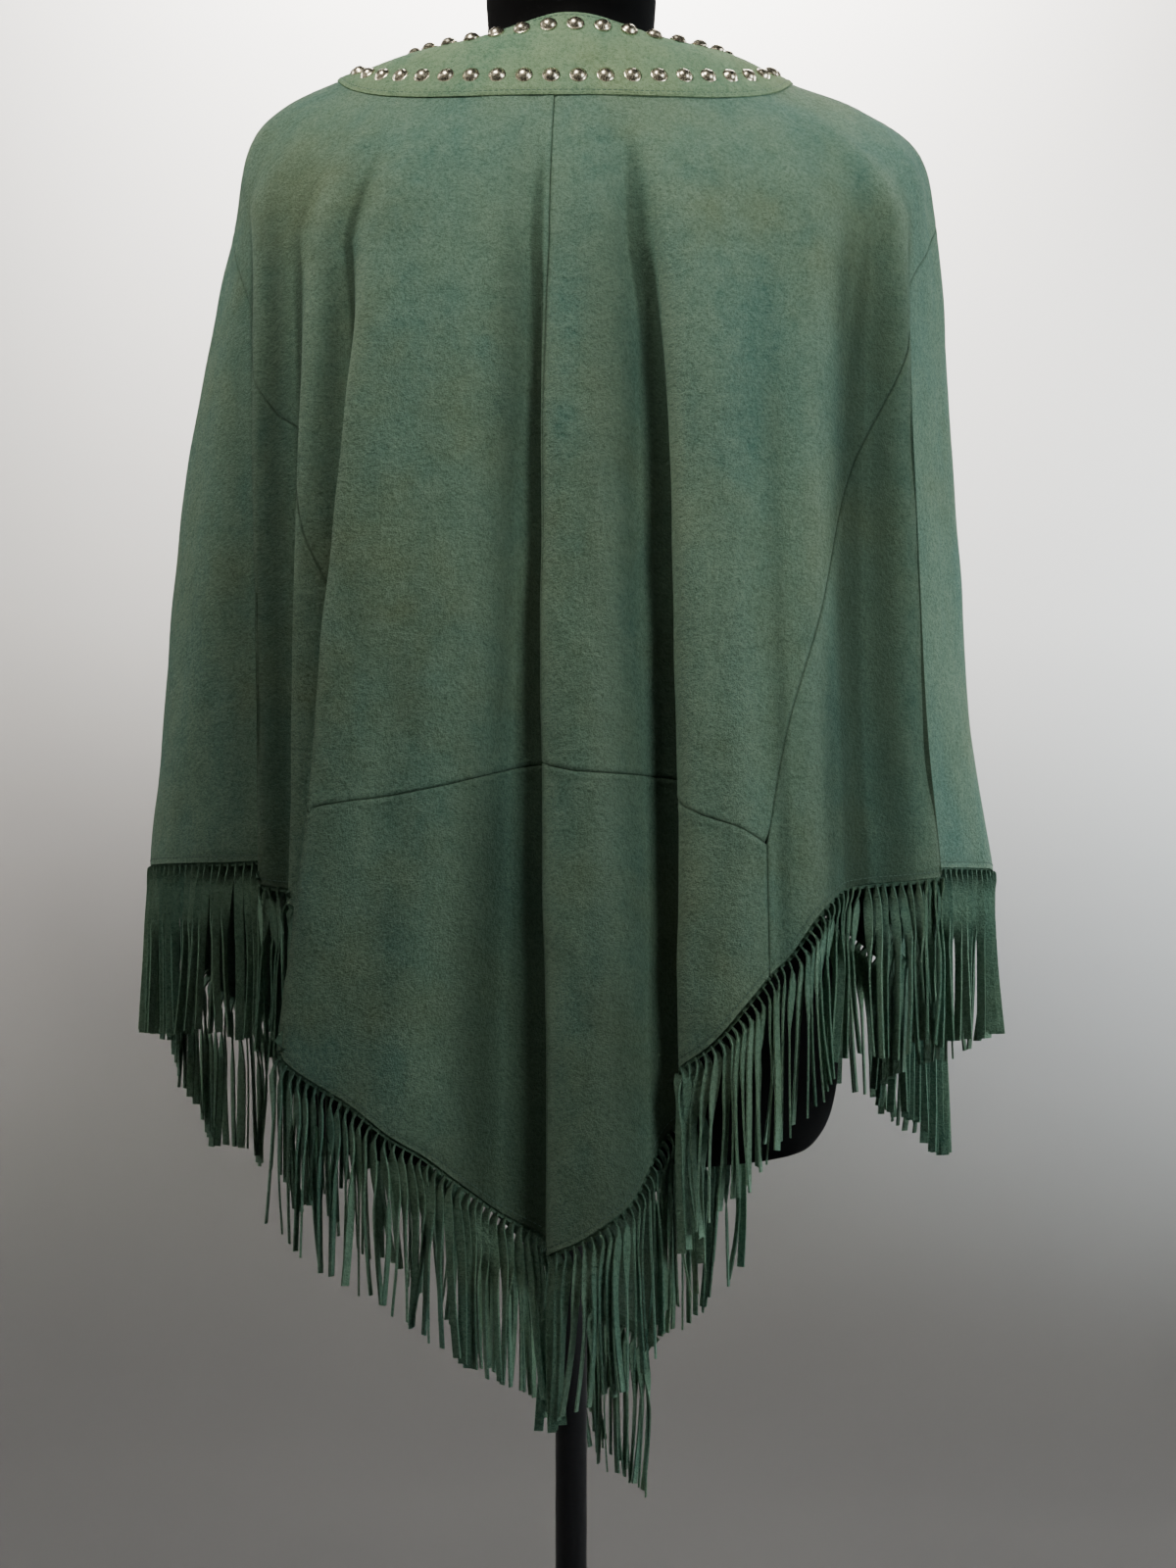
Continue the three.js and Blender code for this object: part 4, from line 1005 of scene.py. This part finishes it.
# %% Stitches along a line
def stitch_tree(tree, wires):
    line = add(tree, "GeometryNodeMeshToCurve", {}, {0: wires["Geometry"]})
    sockets = {"Curve": line, "Length": wires["Pitch"]}
    steps = add(tree, "GeometryNodeResampleCurve", {"mode": "LENGTH"}, sockets)
    bead = add(tree, "GeometryNodeMeshUVSphere", {}, {"Segments": 6, "Rings": 5, "Radius": 1.0})
    way = add(tree, "GeometryNodeInputTangent")
    turn = add(tree, "FunctionNodeAlignRotationToVector", {"axis": "Z"}, {"Vector": way})
    sockets = {0: wires["Thread"], 1: wires["Thread"], 2: wires["Length"]}
    size = add(tree, "ShaderNodeCombineXYZ", {}, sockets)
    sockets = {"Points": steps, "Instance": bead, "Rotation": turn, "Scale": size}
    return add(tree, "GeometryNodeInstanceOnPoints", {}, sockets)


STITCH = {"Pitch": 3.4, "Length": 1.45, "Thread": 0.34}
stitches = grow_tree("Stitches on a line", [*STITCH, "Material"], stitch_tree)


def stitched(name, lines):
    points, edges = [], []
    for line in lines:
        edges += [(len(points) + k, len(points) + k + 1) for k in range(len(line) - 1)]
        points += line.tolist()
    sizes = {key: size * MM for key, size in STITCH.items()}
    piece = run_tree(stitches, line_source(points, edges), name, {**sizes, "Material": thread})
    print(name, "triangles:", len(piece.data.polygons) * 2)
    return piece


def line_above_hem(start, end, distance):
    places = np.arange(start, end, 0.04)
    rows = hem_row(places)
    _, down, _, _, per_row = directions(places, rows)
    edge = cloth(places, rows)
    way = unit(np.gradient(edge, axis=0))
    square = np.clip(np.linalg.norm(np.cross(way, down), axis=-1), 0.25, 1)
    higher = rows - distance / (per_row * square)
    _, _, out, per_place, _ = directions(places, higher)
    spot = cloth(places, higher)
    return spot + out * (lift_at(places, spot, per_place) + WALL / 2 - 0.1)[:, None]


def line_on_yoke(distance, from_edge):
    places = np.linspace(0, AROUND, 900)
    rows = np.full_like(places, YOKE_ROW if from_edge else 0.0)
    per_row = directions(places, rows)[4]
    rows = rows + ((OVERLAP - distance) if from_edge else distance) / per_row
    _, _, out, per_place, _ = directions(places, rows)
    spot = cloth(places, rows)
    rise = (RISE if from_edge else 0) - 0.3 + WALL / 2 + 0.1
    return spot + out * (rise + 0.25 * lift_at(places, spot, per_place))[:, None]


HEMS = [
    ("back_left", LEFT_CORNER, POINT),
    ("back_right", POINT, RIGHT_CORNER),
    ("side_right", RIGHT_CORNER, RIGHT_FRONT),
    ("front", RIGHT_FRONT, LEFT_FRONT),
    ("side_left", LEFT_FRONT, AROUND + LEFT_CORNER),
]
hem_stitches = stitched("hem_stitches", [line_above_hem(a, b, HEM_STITCH) for _, a, b in HEMS])
yoke_lines = [line_on_yoke(YOKE_STITCH, from_edge) for from_edge in (True, False)]
yoke_stitches = stitched("yoke_stitches", yoke_lines)

# %% [markdown]
# ## The fringe
# Under each stretch of the hem is a strip of suede, slit into strands 5.6 mm wide.
# Where the hem runs on a slant the strands start square to it, bend to hang straight
# down, and turn on edge to find room beside each other, as louvres do. So each strand
# is a short path with a facing at every step, and a tree sweeps a flat section along it.

# %% Paths of the strands under one hem
STRAND = {"pitch": 5.9, "width": 5.6, "thick": 1.1, "drop": 106.0, "steps": 18}
TWIST = {"turn": 1.0, "by": 15.0, "hold": 20.0, "flat": 52.0, "kick": 0.075}


def wandering(random, count, reach):
    """Noise that neighbours share, so that strands hang in loose groups."""
    kernel = np.hanning(reach + 2)[1:-1]
    raw = random.normal(size=count + reach * 2)
    return np.convolve(raw, kernel / np.sqrt((kernel**2).sum()), "same")[reach:-reach]


def hem_edge(start, end, spacing=1.2):
    places = np.arange(start, end, 0.02)
    edge = cloth(places, hem_row(places))
    length = lengths_along(edge)
    count = int(length[-1] / spacing)
    places = np.interp(np.linspace(0.2, length[-1] - 0.2, count), length, places)
    rows = hem_row(places)
    edge = cloth(places, rows)
    _, down, out, per_place, _ = directions(places, rows)
    edge += out * lift_at(places, edge, per_place)[:, None]
    way = unit(np.gradient(edge, axis=0))
    square = unit(np.cross(out, way))
    square *= np.sign((square * down).sum(-1, keepdims=True))
    facing = unit(np.cross(square, way))
    facing *= np.sign((facing * out).sum(-1, keepdims=True))
    return edge, way, square, facing, length[-1]


def turn_about(vector, axis, angle):
    cosine, sine = np.cos(angle)[:, None], np.sin(angle)[:, None]
    along = (vector * axis).sum(-1, keepdims=True)
    return vector * cosine + np.cross(axis, vector) * sine + axis * along * (1 - cosine)


def strand_paths(start, end, seed):
    random = np.random.default_rng(seed)
    edge, way, square, out, total = hem_edge(start, end)
    count = int(total / STRAND["pitch"])
    at_root = np.clip(((np.arange(count) + 0.5) * len(edge) / count).astype(int), 0, len(edge) - 1)
    root, way, square, out = (values[at_root] for values in (edge, way, square, out))
    flat_way = unit(way * [1, 1, 0] + 1e-6)
    flat_out = unit(out * [1, 1, 0] + 1e-6)
    slant = np.arccos(np.clip(-square[:, 2], -1, 1))
    lean = np.sign(np.convolve(way[:, 2] - 0.35 * out[:, 0] + 0.05, np.ones(7), "same"))
    sway = 0.022 * wandering(random, count, 5) + 0.016 * random.normal(size=count)
    swing = 0.030 * wandering(random, count, 7) + 0.030 * random.normal(size=count)
    bow = 0.05 * wandering(random, count, 3) + 0.04 * random.normal(size=count)
    straight = unit(np.array([0, 0, -1.0]) + flat_way * sway[:, None] + flat_out * swing[:, None])
    kicked = unit(straight - flat_way * (lean * TWIST["kick"])[:, None])
    first = lean * (TWIST["turn"] + 0.16 * random.normal(size=count))
    crowded = np.arccos(np.clip(1.03 * np.cos(slant), 0, 1))
    last = lean * 0.42 * crowded + 0.28 * wandering(random, count, 3) + 0.22 * random.normal(size=count)
    drop = STRAND["drop"] + 2.2 * wandering(random, count, 4) + 1.2 * random.normal(size=count)
    shares = np.linspace(0, 1, STRAND["steps"] + 1) ** 1.35
    spot, before = root + square * 1.2 - out * 0.5, 0.0
    paths, facings = [spot], [out]
    for share in shares[1:]:
        gone = share * drop
        middle = (before + gone) / 2
        bend = smoothstep(middle / (6 + 13 * np.sin(slant)))[:, None]
        fall = smoothstep((middle - 18) / 30)[:, None]
        hang = kicked * (1 - fall) + straight * fall + flat_way * (bow * math.cos(math.pi * share))[:, None]
        curl = unit(square * (1 - bend) + hang * bend)
        spot = spot + curl * (gone - before)[:, None]
        base = unit(out - curl * (out * curl).sum(-1, keepdims=True))
        eased = smoothstep((gone - TWIST["hold"]) / (TWIST["flat"] - TWIST["hold"]))
        angle = first * smoothstep(gone / TWIST["by"]) + (last - first) * eased
        paths.append(spot)
        facings.append(turn_about(base, curl, angle))
        before = gone
    tone = 0.3 + 0.28 * wandering(random, count, 2) + 0.2 * random.normal(size=count)
    return np.stack(paths, 1), np.stack(facings, 1), tone


# %% The strip that carries the strands
def strip_under(start, end):
    edge, way, square, out, _ = hem_edge(start, end, 3.0)
    levels = [(-4.5, -1.75), (-0.4, -1.5), (2.6, -0.55)]
    grid = np.stack([edge + square * down + out * away for down, away in levels], 1)
    half = STRAND["thick"] / 2
    return grid + out[:, None] * half, grid - out[:, None] * half


def closed_strip(outer, inner):
    count, rows = outer.shape[:2]
    points = np.concatenate([outer.reshape(-1, 3), inner.reshape(-1, 3)])
    shift = count * rows
    faces = []
    for i in range(count - 1):
        for j in range(rows - 1):
            a, b = i * rows + j, i * rows + j + 1
            c, d = b + rows, a + rows
            faces += [(a, b, c, d), (a + shift, d + shift, c + shift, b + shift)]
        a, d = i * rows, (i + 1) * rows
        b, c = a + rows - 1, d + rows - 1
        faces += [(a, d, d + shift, a + shift), (c, b, b + shift, c + shift)]
    for j in range(rows - 1):
        a, b = j, j + 1
        d, c = (count - 1) * rows + j, (count - 1) * rows + j + 1
        faces += [(b, a, a + shift, b + shift), (d, c, c + shift, d + shift)]
    return points, faces


# %% Sweep the strands and join them to their strip
def strand_tree(tree, wires):
    line = add(tree, "GeometryNodeMeshToCurve", {}, {0: wires["Geometry"]})
    facing = add(tree, "GeometryNodeInputNamedAttribute", {"data_type": "FLOAT_VECTOR"}, {0: "facing"})
    faced = add(tree, "GeometryNodeSetCurveNormal", {"mode": "FREE"}, {"Curve": line, "Normal": facing})
    sockets = {"Width": wires["Width"], "Height": wires["Thickness"]}
    section = add(tree, "GeometryNodeCurvePrimitiveQuadrilateral", {}, sockets)
    return add(tree, "GeometryNodeCurveToMesh", {}, {0: faced, 1: section, "Fill Caps": True})


strands = grow_tree("Strands on paths", ["Width", "Thickness", "Material"], strand_tree)


def read_values(mesh, key):
    values = np.zeros(len(mesh.vertices), np.float32)
    mesh.attributes[key].data.foreach_get("value", values)
    return values


def cut_fringe(node, start, end, seed):
    paths, facings, tone = strand_paths(start, end, seed)
    count, steps = paths.shape[:2]
    edges = [(i * steps + j, i * steps + j + 1) for i in range(count) for j in range(steps - 1)]
    # Painted shadow: each strand is darker towards its root, under the hem.
    root_shadow = np.tile(np.exp(-np.linspace(0, 1, steps) * 9), count)
    values = {"tone": np.repeat(tone, steps), "root": root_shadow}
    source = line_source(paths.reshape(-1, 3), edges, {"facing": facings.reshape(-1, 3)}, values)
    sizes = {"Width": STRAND["width"] * MM, "Thickness": STRAND["thick"] * MM, "Material": suede_strips}
    swept = run_tree(strands, source, "swept", sizes)
    points = np.array([v.co for v in swept.data.vertices]) / MM
    faces = [tuple(p.vertices) for p in swept.data.polygons]
    tones, root_shadows = read_values(swept.data, "tone"), read_values(swept.data, "root")
    bpy.data.objects.remove(swept)
    strip_points, strip_faces = closed_strip(*strip_under(start, end))
    shift = len(points)
    faces += [tuple(index + shift for index in face) for face in strip_faces]
    # The strip under the hem gets a strong painted shadow all over.
    extra = np.ones(len(strip_points))
    piece = make_piece(
        "suede_fringe_" + node,
        np.concatenate([points, strip_points]),
        faces,
        {"tone": np.concatenate([tones, 0.2 * extra]), "root": np.concatenate([root_shadows, 0.9 * extra])},
        sharp=35,
    )
    print(piece.name, "strands:", count, "triangles:", sum(len(f) - 2 for f in faces))
    return piece


FIRST_SEED = 40
fringes = {}
for seed, (node, start, end) in enumerate(HEMS, FIRST_SEED):
    fringes[node] = cut_fringe(node, start, end, seed)

# %% [markdown]
# ## The dress form and its stand
# The poncho rests on a smooth black form with no head, arms or legs. Its shoulders
# follow the inside of the yoke, so the yoke truly rests there. A body with changing
# rounded sections is lofted: a few rings give the form and a smooth curve runs through
# them. The pole and the base are turned, since they are round.

# %% Loft the form
FORM_RINGS = [
    # height, half width, half depth behind, half depth before, squareness, lean
    (1464, 48, 45, 47, 2.0, 4),
    (1461, 53.5, 50.5, 52.5, 2.0, 4),
    (1455, 55, 52, 54, 2.0, 4),
    (1440, 55.5, 52, 58, 2.0, 6),
]
TRUNK_RINGS = [
    (1262, 168, 98, 118, 2.4, 0),
    (1165, 166, 96, 138, 2.3, 0),
    (1085, 146, 90, 116, 2.2, 0),
    (985, 128, 84, 96, 2.1, 0),
    (900, 146, 98, 108, 2.1, 0),
    (800, 172, 120, 122, 2.1, 0),
    (752, 174, 122, 122, 2.1, 0),
    (722, 171, 120, 120, 2.1, 0),
    (700, 162, 112, 112, 2.1, 0),
    (688, 146, 100, 100, 2.0, 0),
    (682, 100, 70, 70, 2.0, 0),
]
NECK_FOOT = (6, 58, 52.5, 62, 2.0, 7)
SHOULDER_RINGS = [(0.0, 7), (1.0, 1.4), (2.0, 4), (2.8, 8), (3.5, 21)]  # row, inset
NECK_CAP, UNDERSIDE = [0, 4, 1465.5], [0, 0, 681]
FORM_SIDES, FORM_STEPS = 128, 6


def oval(turns, ring):
    height, half, rear, fore, square, lean = ring
    shape = {"right": half, "left": half, "rear": rear, "fore": fore, "square": square}
    x, y = outline_at({key: np.asarray(value, float) for key, value in shape.items()}, turns)
    return np.stack([x, y + lean, np.full_like(x, height)], -1)


form_places = np.linspace(0, AROUND, FORM_SIDES, endpoint=False)
beside = cloth(form_places, np.ones(FORM_SIDES))
turns = np.arctan2(beside[:, 0], -beside[:, 1])
rings = [oval(turns, ring) for ring in FORM_RINGS]
# The neck stays straight down to just above the neckline, which isn't level.
foot = oval(turns, NECK_FOOT)
foot[:, 2] += cloth(form_places, np.zeros(FORM_SIDES))[:, 2]
rings.append(foot)
for row_of_form, inset in SHOULDER_RINGS:
    rows = np.full(FORM_SIDES, row_of_form)
    rings.append(cloth(form_places, rows) - directions(form_places, rows)[2] * (WALL / 2 + inset))
rings += [oval(turns, ring) for ring in TRUNK_RINGS]
rings = np.array(rings)
smooth_rings = []
for k in range(len(rings) - 1):
    before = rings[max(k - 1, 0)]
    after = rings[min(k + 2, len(rings) - 1)]
    for f in np.linspace(0, 1, FORM_STEPS, endpoint=False):
        smooth_rings.append(catmull(before, rings[k], rings[k + 1], after, f))
smooth_rings.append(rings[-1])
smooth_rings = np.array(smooth_rings)
points = [NECK_CAP, *smooth_rings.reshape(-1, 3).tolist(), UNDERSIDE]
form = make_piece("black_dress_form", points, capped_faces(len(smooth_rings), FORM_SIDES), sharp=60)
print("form:", len(form.data.polygons) * 2, "triangles")

# %% Turn the pole and the base
POLE_PROFILE = [(0, 679.5), (9.6, 679.5), (10.25, 678.8), (10.25, 53.2), (9.8, 52.5), (0, 52.5)]
BASE_PROFILE = [(0, 52), (22.8, 52), (24, 50.8), (24, 24), (27, 21.4), (40, 19.2), (85, 13), (150, 9.2)]
BASE_PROFILE += [(167, 8), (169.3, 6.6), (170, 4.2), (169.6, 1.0), (168.6, 0), (0, 0)]
pole = turned("steel_pole", POLE_PROFILE, 64)
base = turned("steel_base", BASE_PROFILE, 128, sharp=30)
print("stand:", len(pole.data.polygons) + len(base.data.polygons), "faces")

# %% [markdown]
# ## What each piece stands for
# Every piece rides on the frame's one body and takes its material, and all but the
# studs and stitches hide the solid that they stand for. The panels are sheets: the table
# below gives the size of each flat cut, and the area of each piece is printed.

# %% Attach every piece to the frame's body and hide the solids it replaces
def dress(piece, material, slot, *nodes):
    piece.data.materials.clear()
    piece.data.materials.append(material)
    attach(piece, "root")
    if nodes:
        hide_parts(*nodes)


for node, panel in panels.items():
    dress(panel, suede_cloth, "suede", node)
dress(yoke, yoke_suede, "yoke", "neck_yoke")
for node, fringe in fringes.items():
    dress(fringe, suede_strips, "fringe", "fringe_" + node)
dress(studs, nickel, "studs")
dress(hem_stitches, thread, "suede")
dress(yoke_stitches, thread, "yoke")
dress(form, jersey, "form_cover", "dress_form")
dress(pole, enamel, "stand", "form_pole")
dress(base, enamel, "stand", "form_base")


def measure(piece):
    """Area of one side of a wall, in square metres."""
    mesh = piece.data
    return sum(polygon.area for polygon in mesh.polygons) / 2


FLAT = {
    # node: flat width, flat length, flat area, the fringe under it
    "neck_yoke": (0.84, 0.085, 0.055, []),
    "back_upper_left": (0.30, 0.49, 0.105, []),
    "back_upper_right": (0.33, 0.49, 0.115, []),
    "back_lower_left": (0.215, 0.30, 0.0445, ["back_left"]),
    "back_lower_right": (0.19, 0.30, 0.0385, ["back_right"]),
    "side_right": (0.51, 0.51, 0.155, ["side_right"]),
    "side_left": (0.51, 0.55, 0.158, ["side_left"]),
    "front_panel": (0.62, 0.86, 0.317, ["front"]),
}
for node, (width, length, area, fringed) in FLAT.items():
    piece = yoke if node == "neck_yoke" else panels[node]
    rests = ["dress_form"] if node == "neck_yoke" else ["neck_yoke", "dress_form"]
    extra = [studs, yoke_stitches] if node == "neck_yoke" else [fringes[name] for name in fringed]
    if node == "front_panel":
        extra.append(hem_stitches)
    print(node, "measures", round(measure(piece), 4), "square metres")

# %% [markdown]
# ## Studio
# A pale bowl stands behind and under the object, so that no edge of the room shows from
# any side. Its colour is painted darker towards the floor, as painted shade. One light
# from above and four round the garment shape its folds, and the others light the bowl.

# %% Floor, backdrop and lights
def studio_bowl():
    profile = [(0, 0), (1.2, 0), (2.2, 0.02)]
    bend = np.linspace(0.1, math.pi / 2, 16)
    profile += [(2.2 + 2.2 * math.sin(a), 2.22 - 2.2 * math.cos(a)) for a in bend]
    profile += [(4.4, 3.4), (4.4, 6.0)]
    sides = 96
    angle = np.linspace(0, 2 * math.pi, sides, endpoint=False)
    points = [[0, 0, 0]]
    for radius, height in profile[1:]:
        points += np.stack([radius * np.sin(angle), radius * np.cos(angle), 0 * angle + height], 1).tolist()
    faces = []
    for n in range(sides):
        m = (n + 1) % sides
        faces.append((0, 1 + m, 1 + n))
        for r in range(len(profile) - 2):
            a, b = 1 + r * sides, 1 + (r + 1) * sides
            faces.append((a + n, a + m, b + m, b + n))
    return make_piece("studio_bowl", np.array(points) / MM, faces)


bowl = studio_bowl()
paper, tree, shader, spot = new_material("pale paper", {"Roughness": 0.9})
split = add(tree, "ShaderNodeSeparateXYZ", {}, {0: spot}, out=2)
# Painted shade: the paper's colour is painted darker towards the floor and paler up the wall.
painted_floor_shade = ramp(tree, split + noise(tree, spot, 0.8, 2) * 0.2, 0.0, 1.3)
shade = blend(tree, painted_floor_shade, (0.11, 0.11, 0.112), (0.49, 0.485, 0.475))
tree.links.new(shade.socket, shader.inputs["Base Color"])
bowl.data.materials.append(paper)


def area_light(name, place, aim, size, power, spread, color):
    light = bpy.data.lights.new(name, "AREA")
    light.shape, light.size, light.energy, light.color = "DISK", size, power, color
    light.spread = math.radians(spread)
    lamp = bpy.data.objects.new(name, light)
    lamp.location = place
    way = np.array(aim) - np.array(place)
    lamp.rotation_euler = (math.acos(-way[2] / np.linalg.norm(way)), 0, math.atan2(-way[0], way[1]))
    bpy.context.scene.collection.objects.link(lamp)


LIGHTS = [
    # name, place, aim, size, power, spread in degrees, colour
    ("top_light", (-0.60, -0.75, 2.6), (0.04, 0.0, 1.45), 0.5, 2.2, 45, (1.0, 0.97, 0.90)),
    ("far_light", (0.4, 1.5, 2.6), (0.0, 0.1, 1.0), 0.9, 3.4, 60, (1.0, 0.98, 0.95)),
    ("right_light", (2.0, 0.9, 1.45), (0.1, 0.0, 0.9), 0.8, 3.8, 60, (0.88, 0.95, 1.0)),
    ("right_soft", (1.7, -1.2, 1.7), (0.1, 0.0, 1.05), 0.8, 3.1, 60, (0.88, 0.97, 1.0)),
    ("left_light", (-1.8, 0.9, 1.8), (-0.1, 0.0, 1.0), 0.8, 1.5, 60, (1.0, 0.98, 0.96)),
    ("wall_light", (0.0, 3.2, 3.3), (0.0, 4.4, 2.9), 1.2, 270, 120, (1.0, 0.96, 0.91)),
    ("wall_left", (-1.9, 3.0, 1.5), (-1.9, 4.1, 0.5), 1.0, 13, 110, (1.0, 0.92, 0.84)),
    ("wall_right", (1.9, 3.0, 2.1), (1.9, 4.2, 0.9), 1.0, 66, 110, (0.88, 0.96, 1.0)),
]
ROUND_LIGHTS = [(55, 20), (110, 13), (250, 13), (305, 20)]  # angle round the bowl, power
for light in LIGHTS:
    area_light(*light)
for degrees, power in ROUND_LIGHTS:
    way = np.array([math.sin(math.radians(degrees)), math.cos(math.radians(degrees)), 0])
    place, aim = way * 3.2 + [0, 0, 3.3], way * 4.4 + [0, 0, 2.7]
    area_light(f"round_light_{degrees}", place, aim, 1.2, power, 120, (1.0, 0.98, 0.95))
world = bpy.data.worlds.new("studio")
world.use_nodes = True
world.node_tree.nodes["Background"].inputs["Color"].default_value = (0.80, 0.86, 0.92, 1)
world.node_tree.nodes["Background"].inputs["Strength"].default_value = 0.03
bpy.context.scene.world = world
print("lights:", len(LIGHTS) + len(ROUND_LIGHTS))

# %% [markdown]
# ## Camera
# The camera looks level at the middle of the back from about two and a half metres.

# %% Camera
camera = bpy.data.objects.new("camera", bpy.data.cameras.new("camera"))
camera.data.sensor_fit = "VERTICAL"
camera.data.sensor_height = 24
camera.data.lens = 57.5
camera.location = (0.011, -2.450, 0.928)
camera.rotation_euler = (math.radians(90), 0, 0)
bpy.context.scene.collection.objects.link(camera)
bpy.context.scene.camera = camera
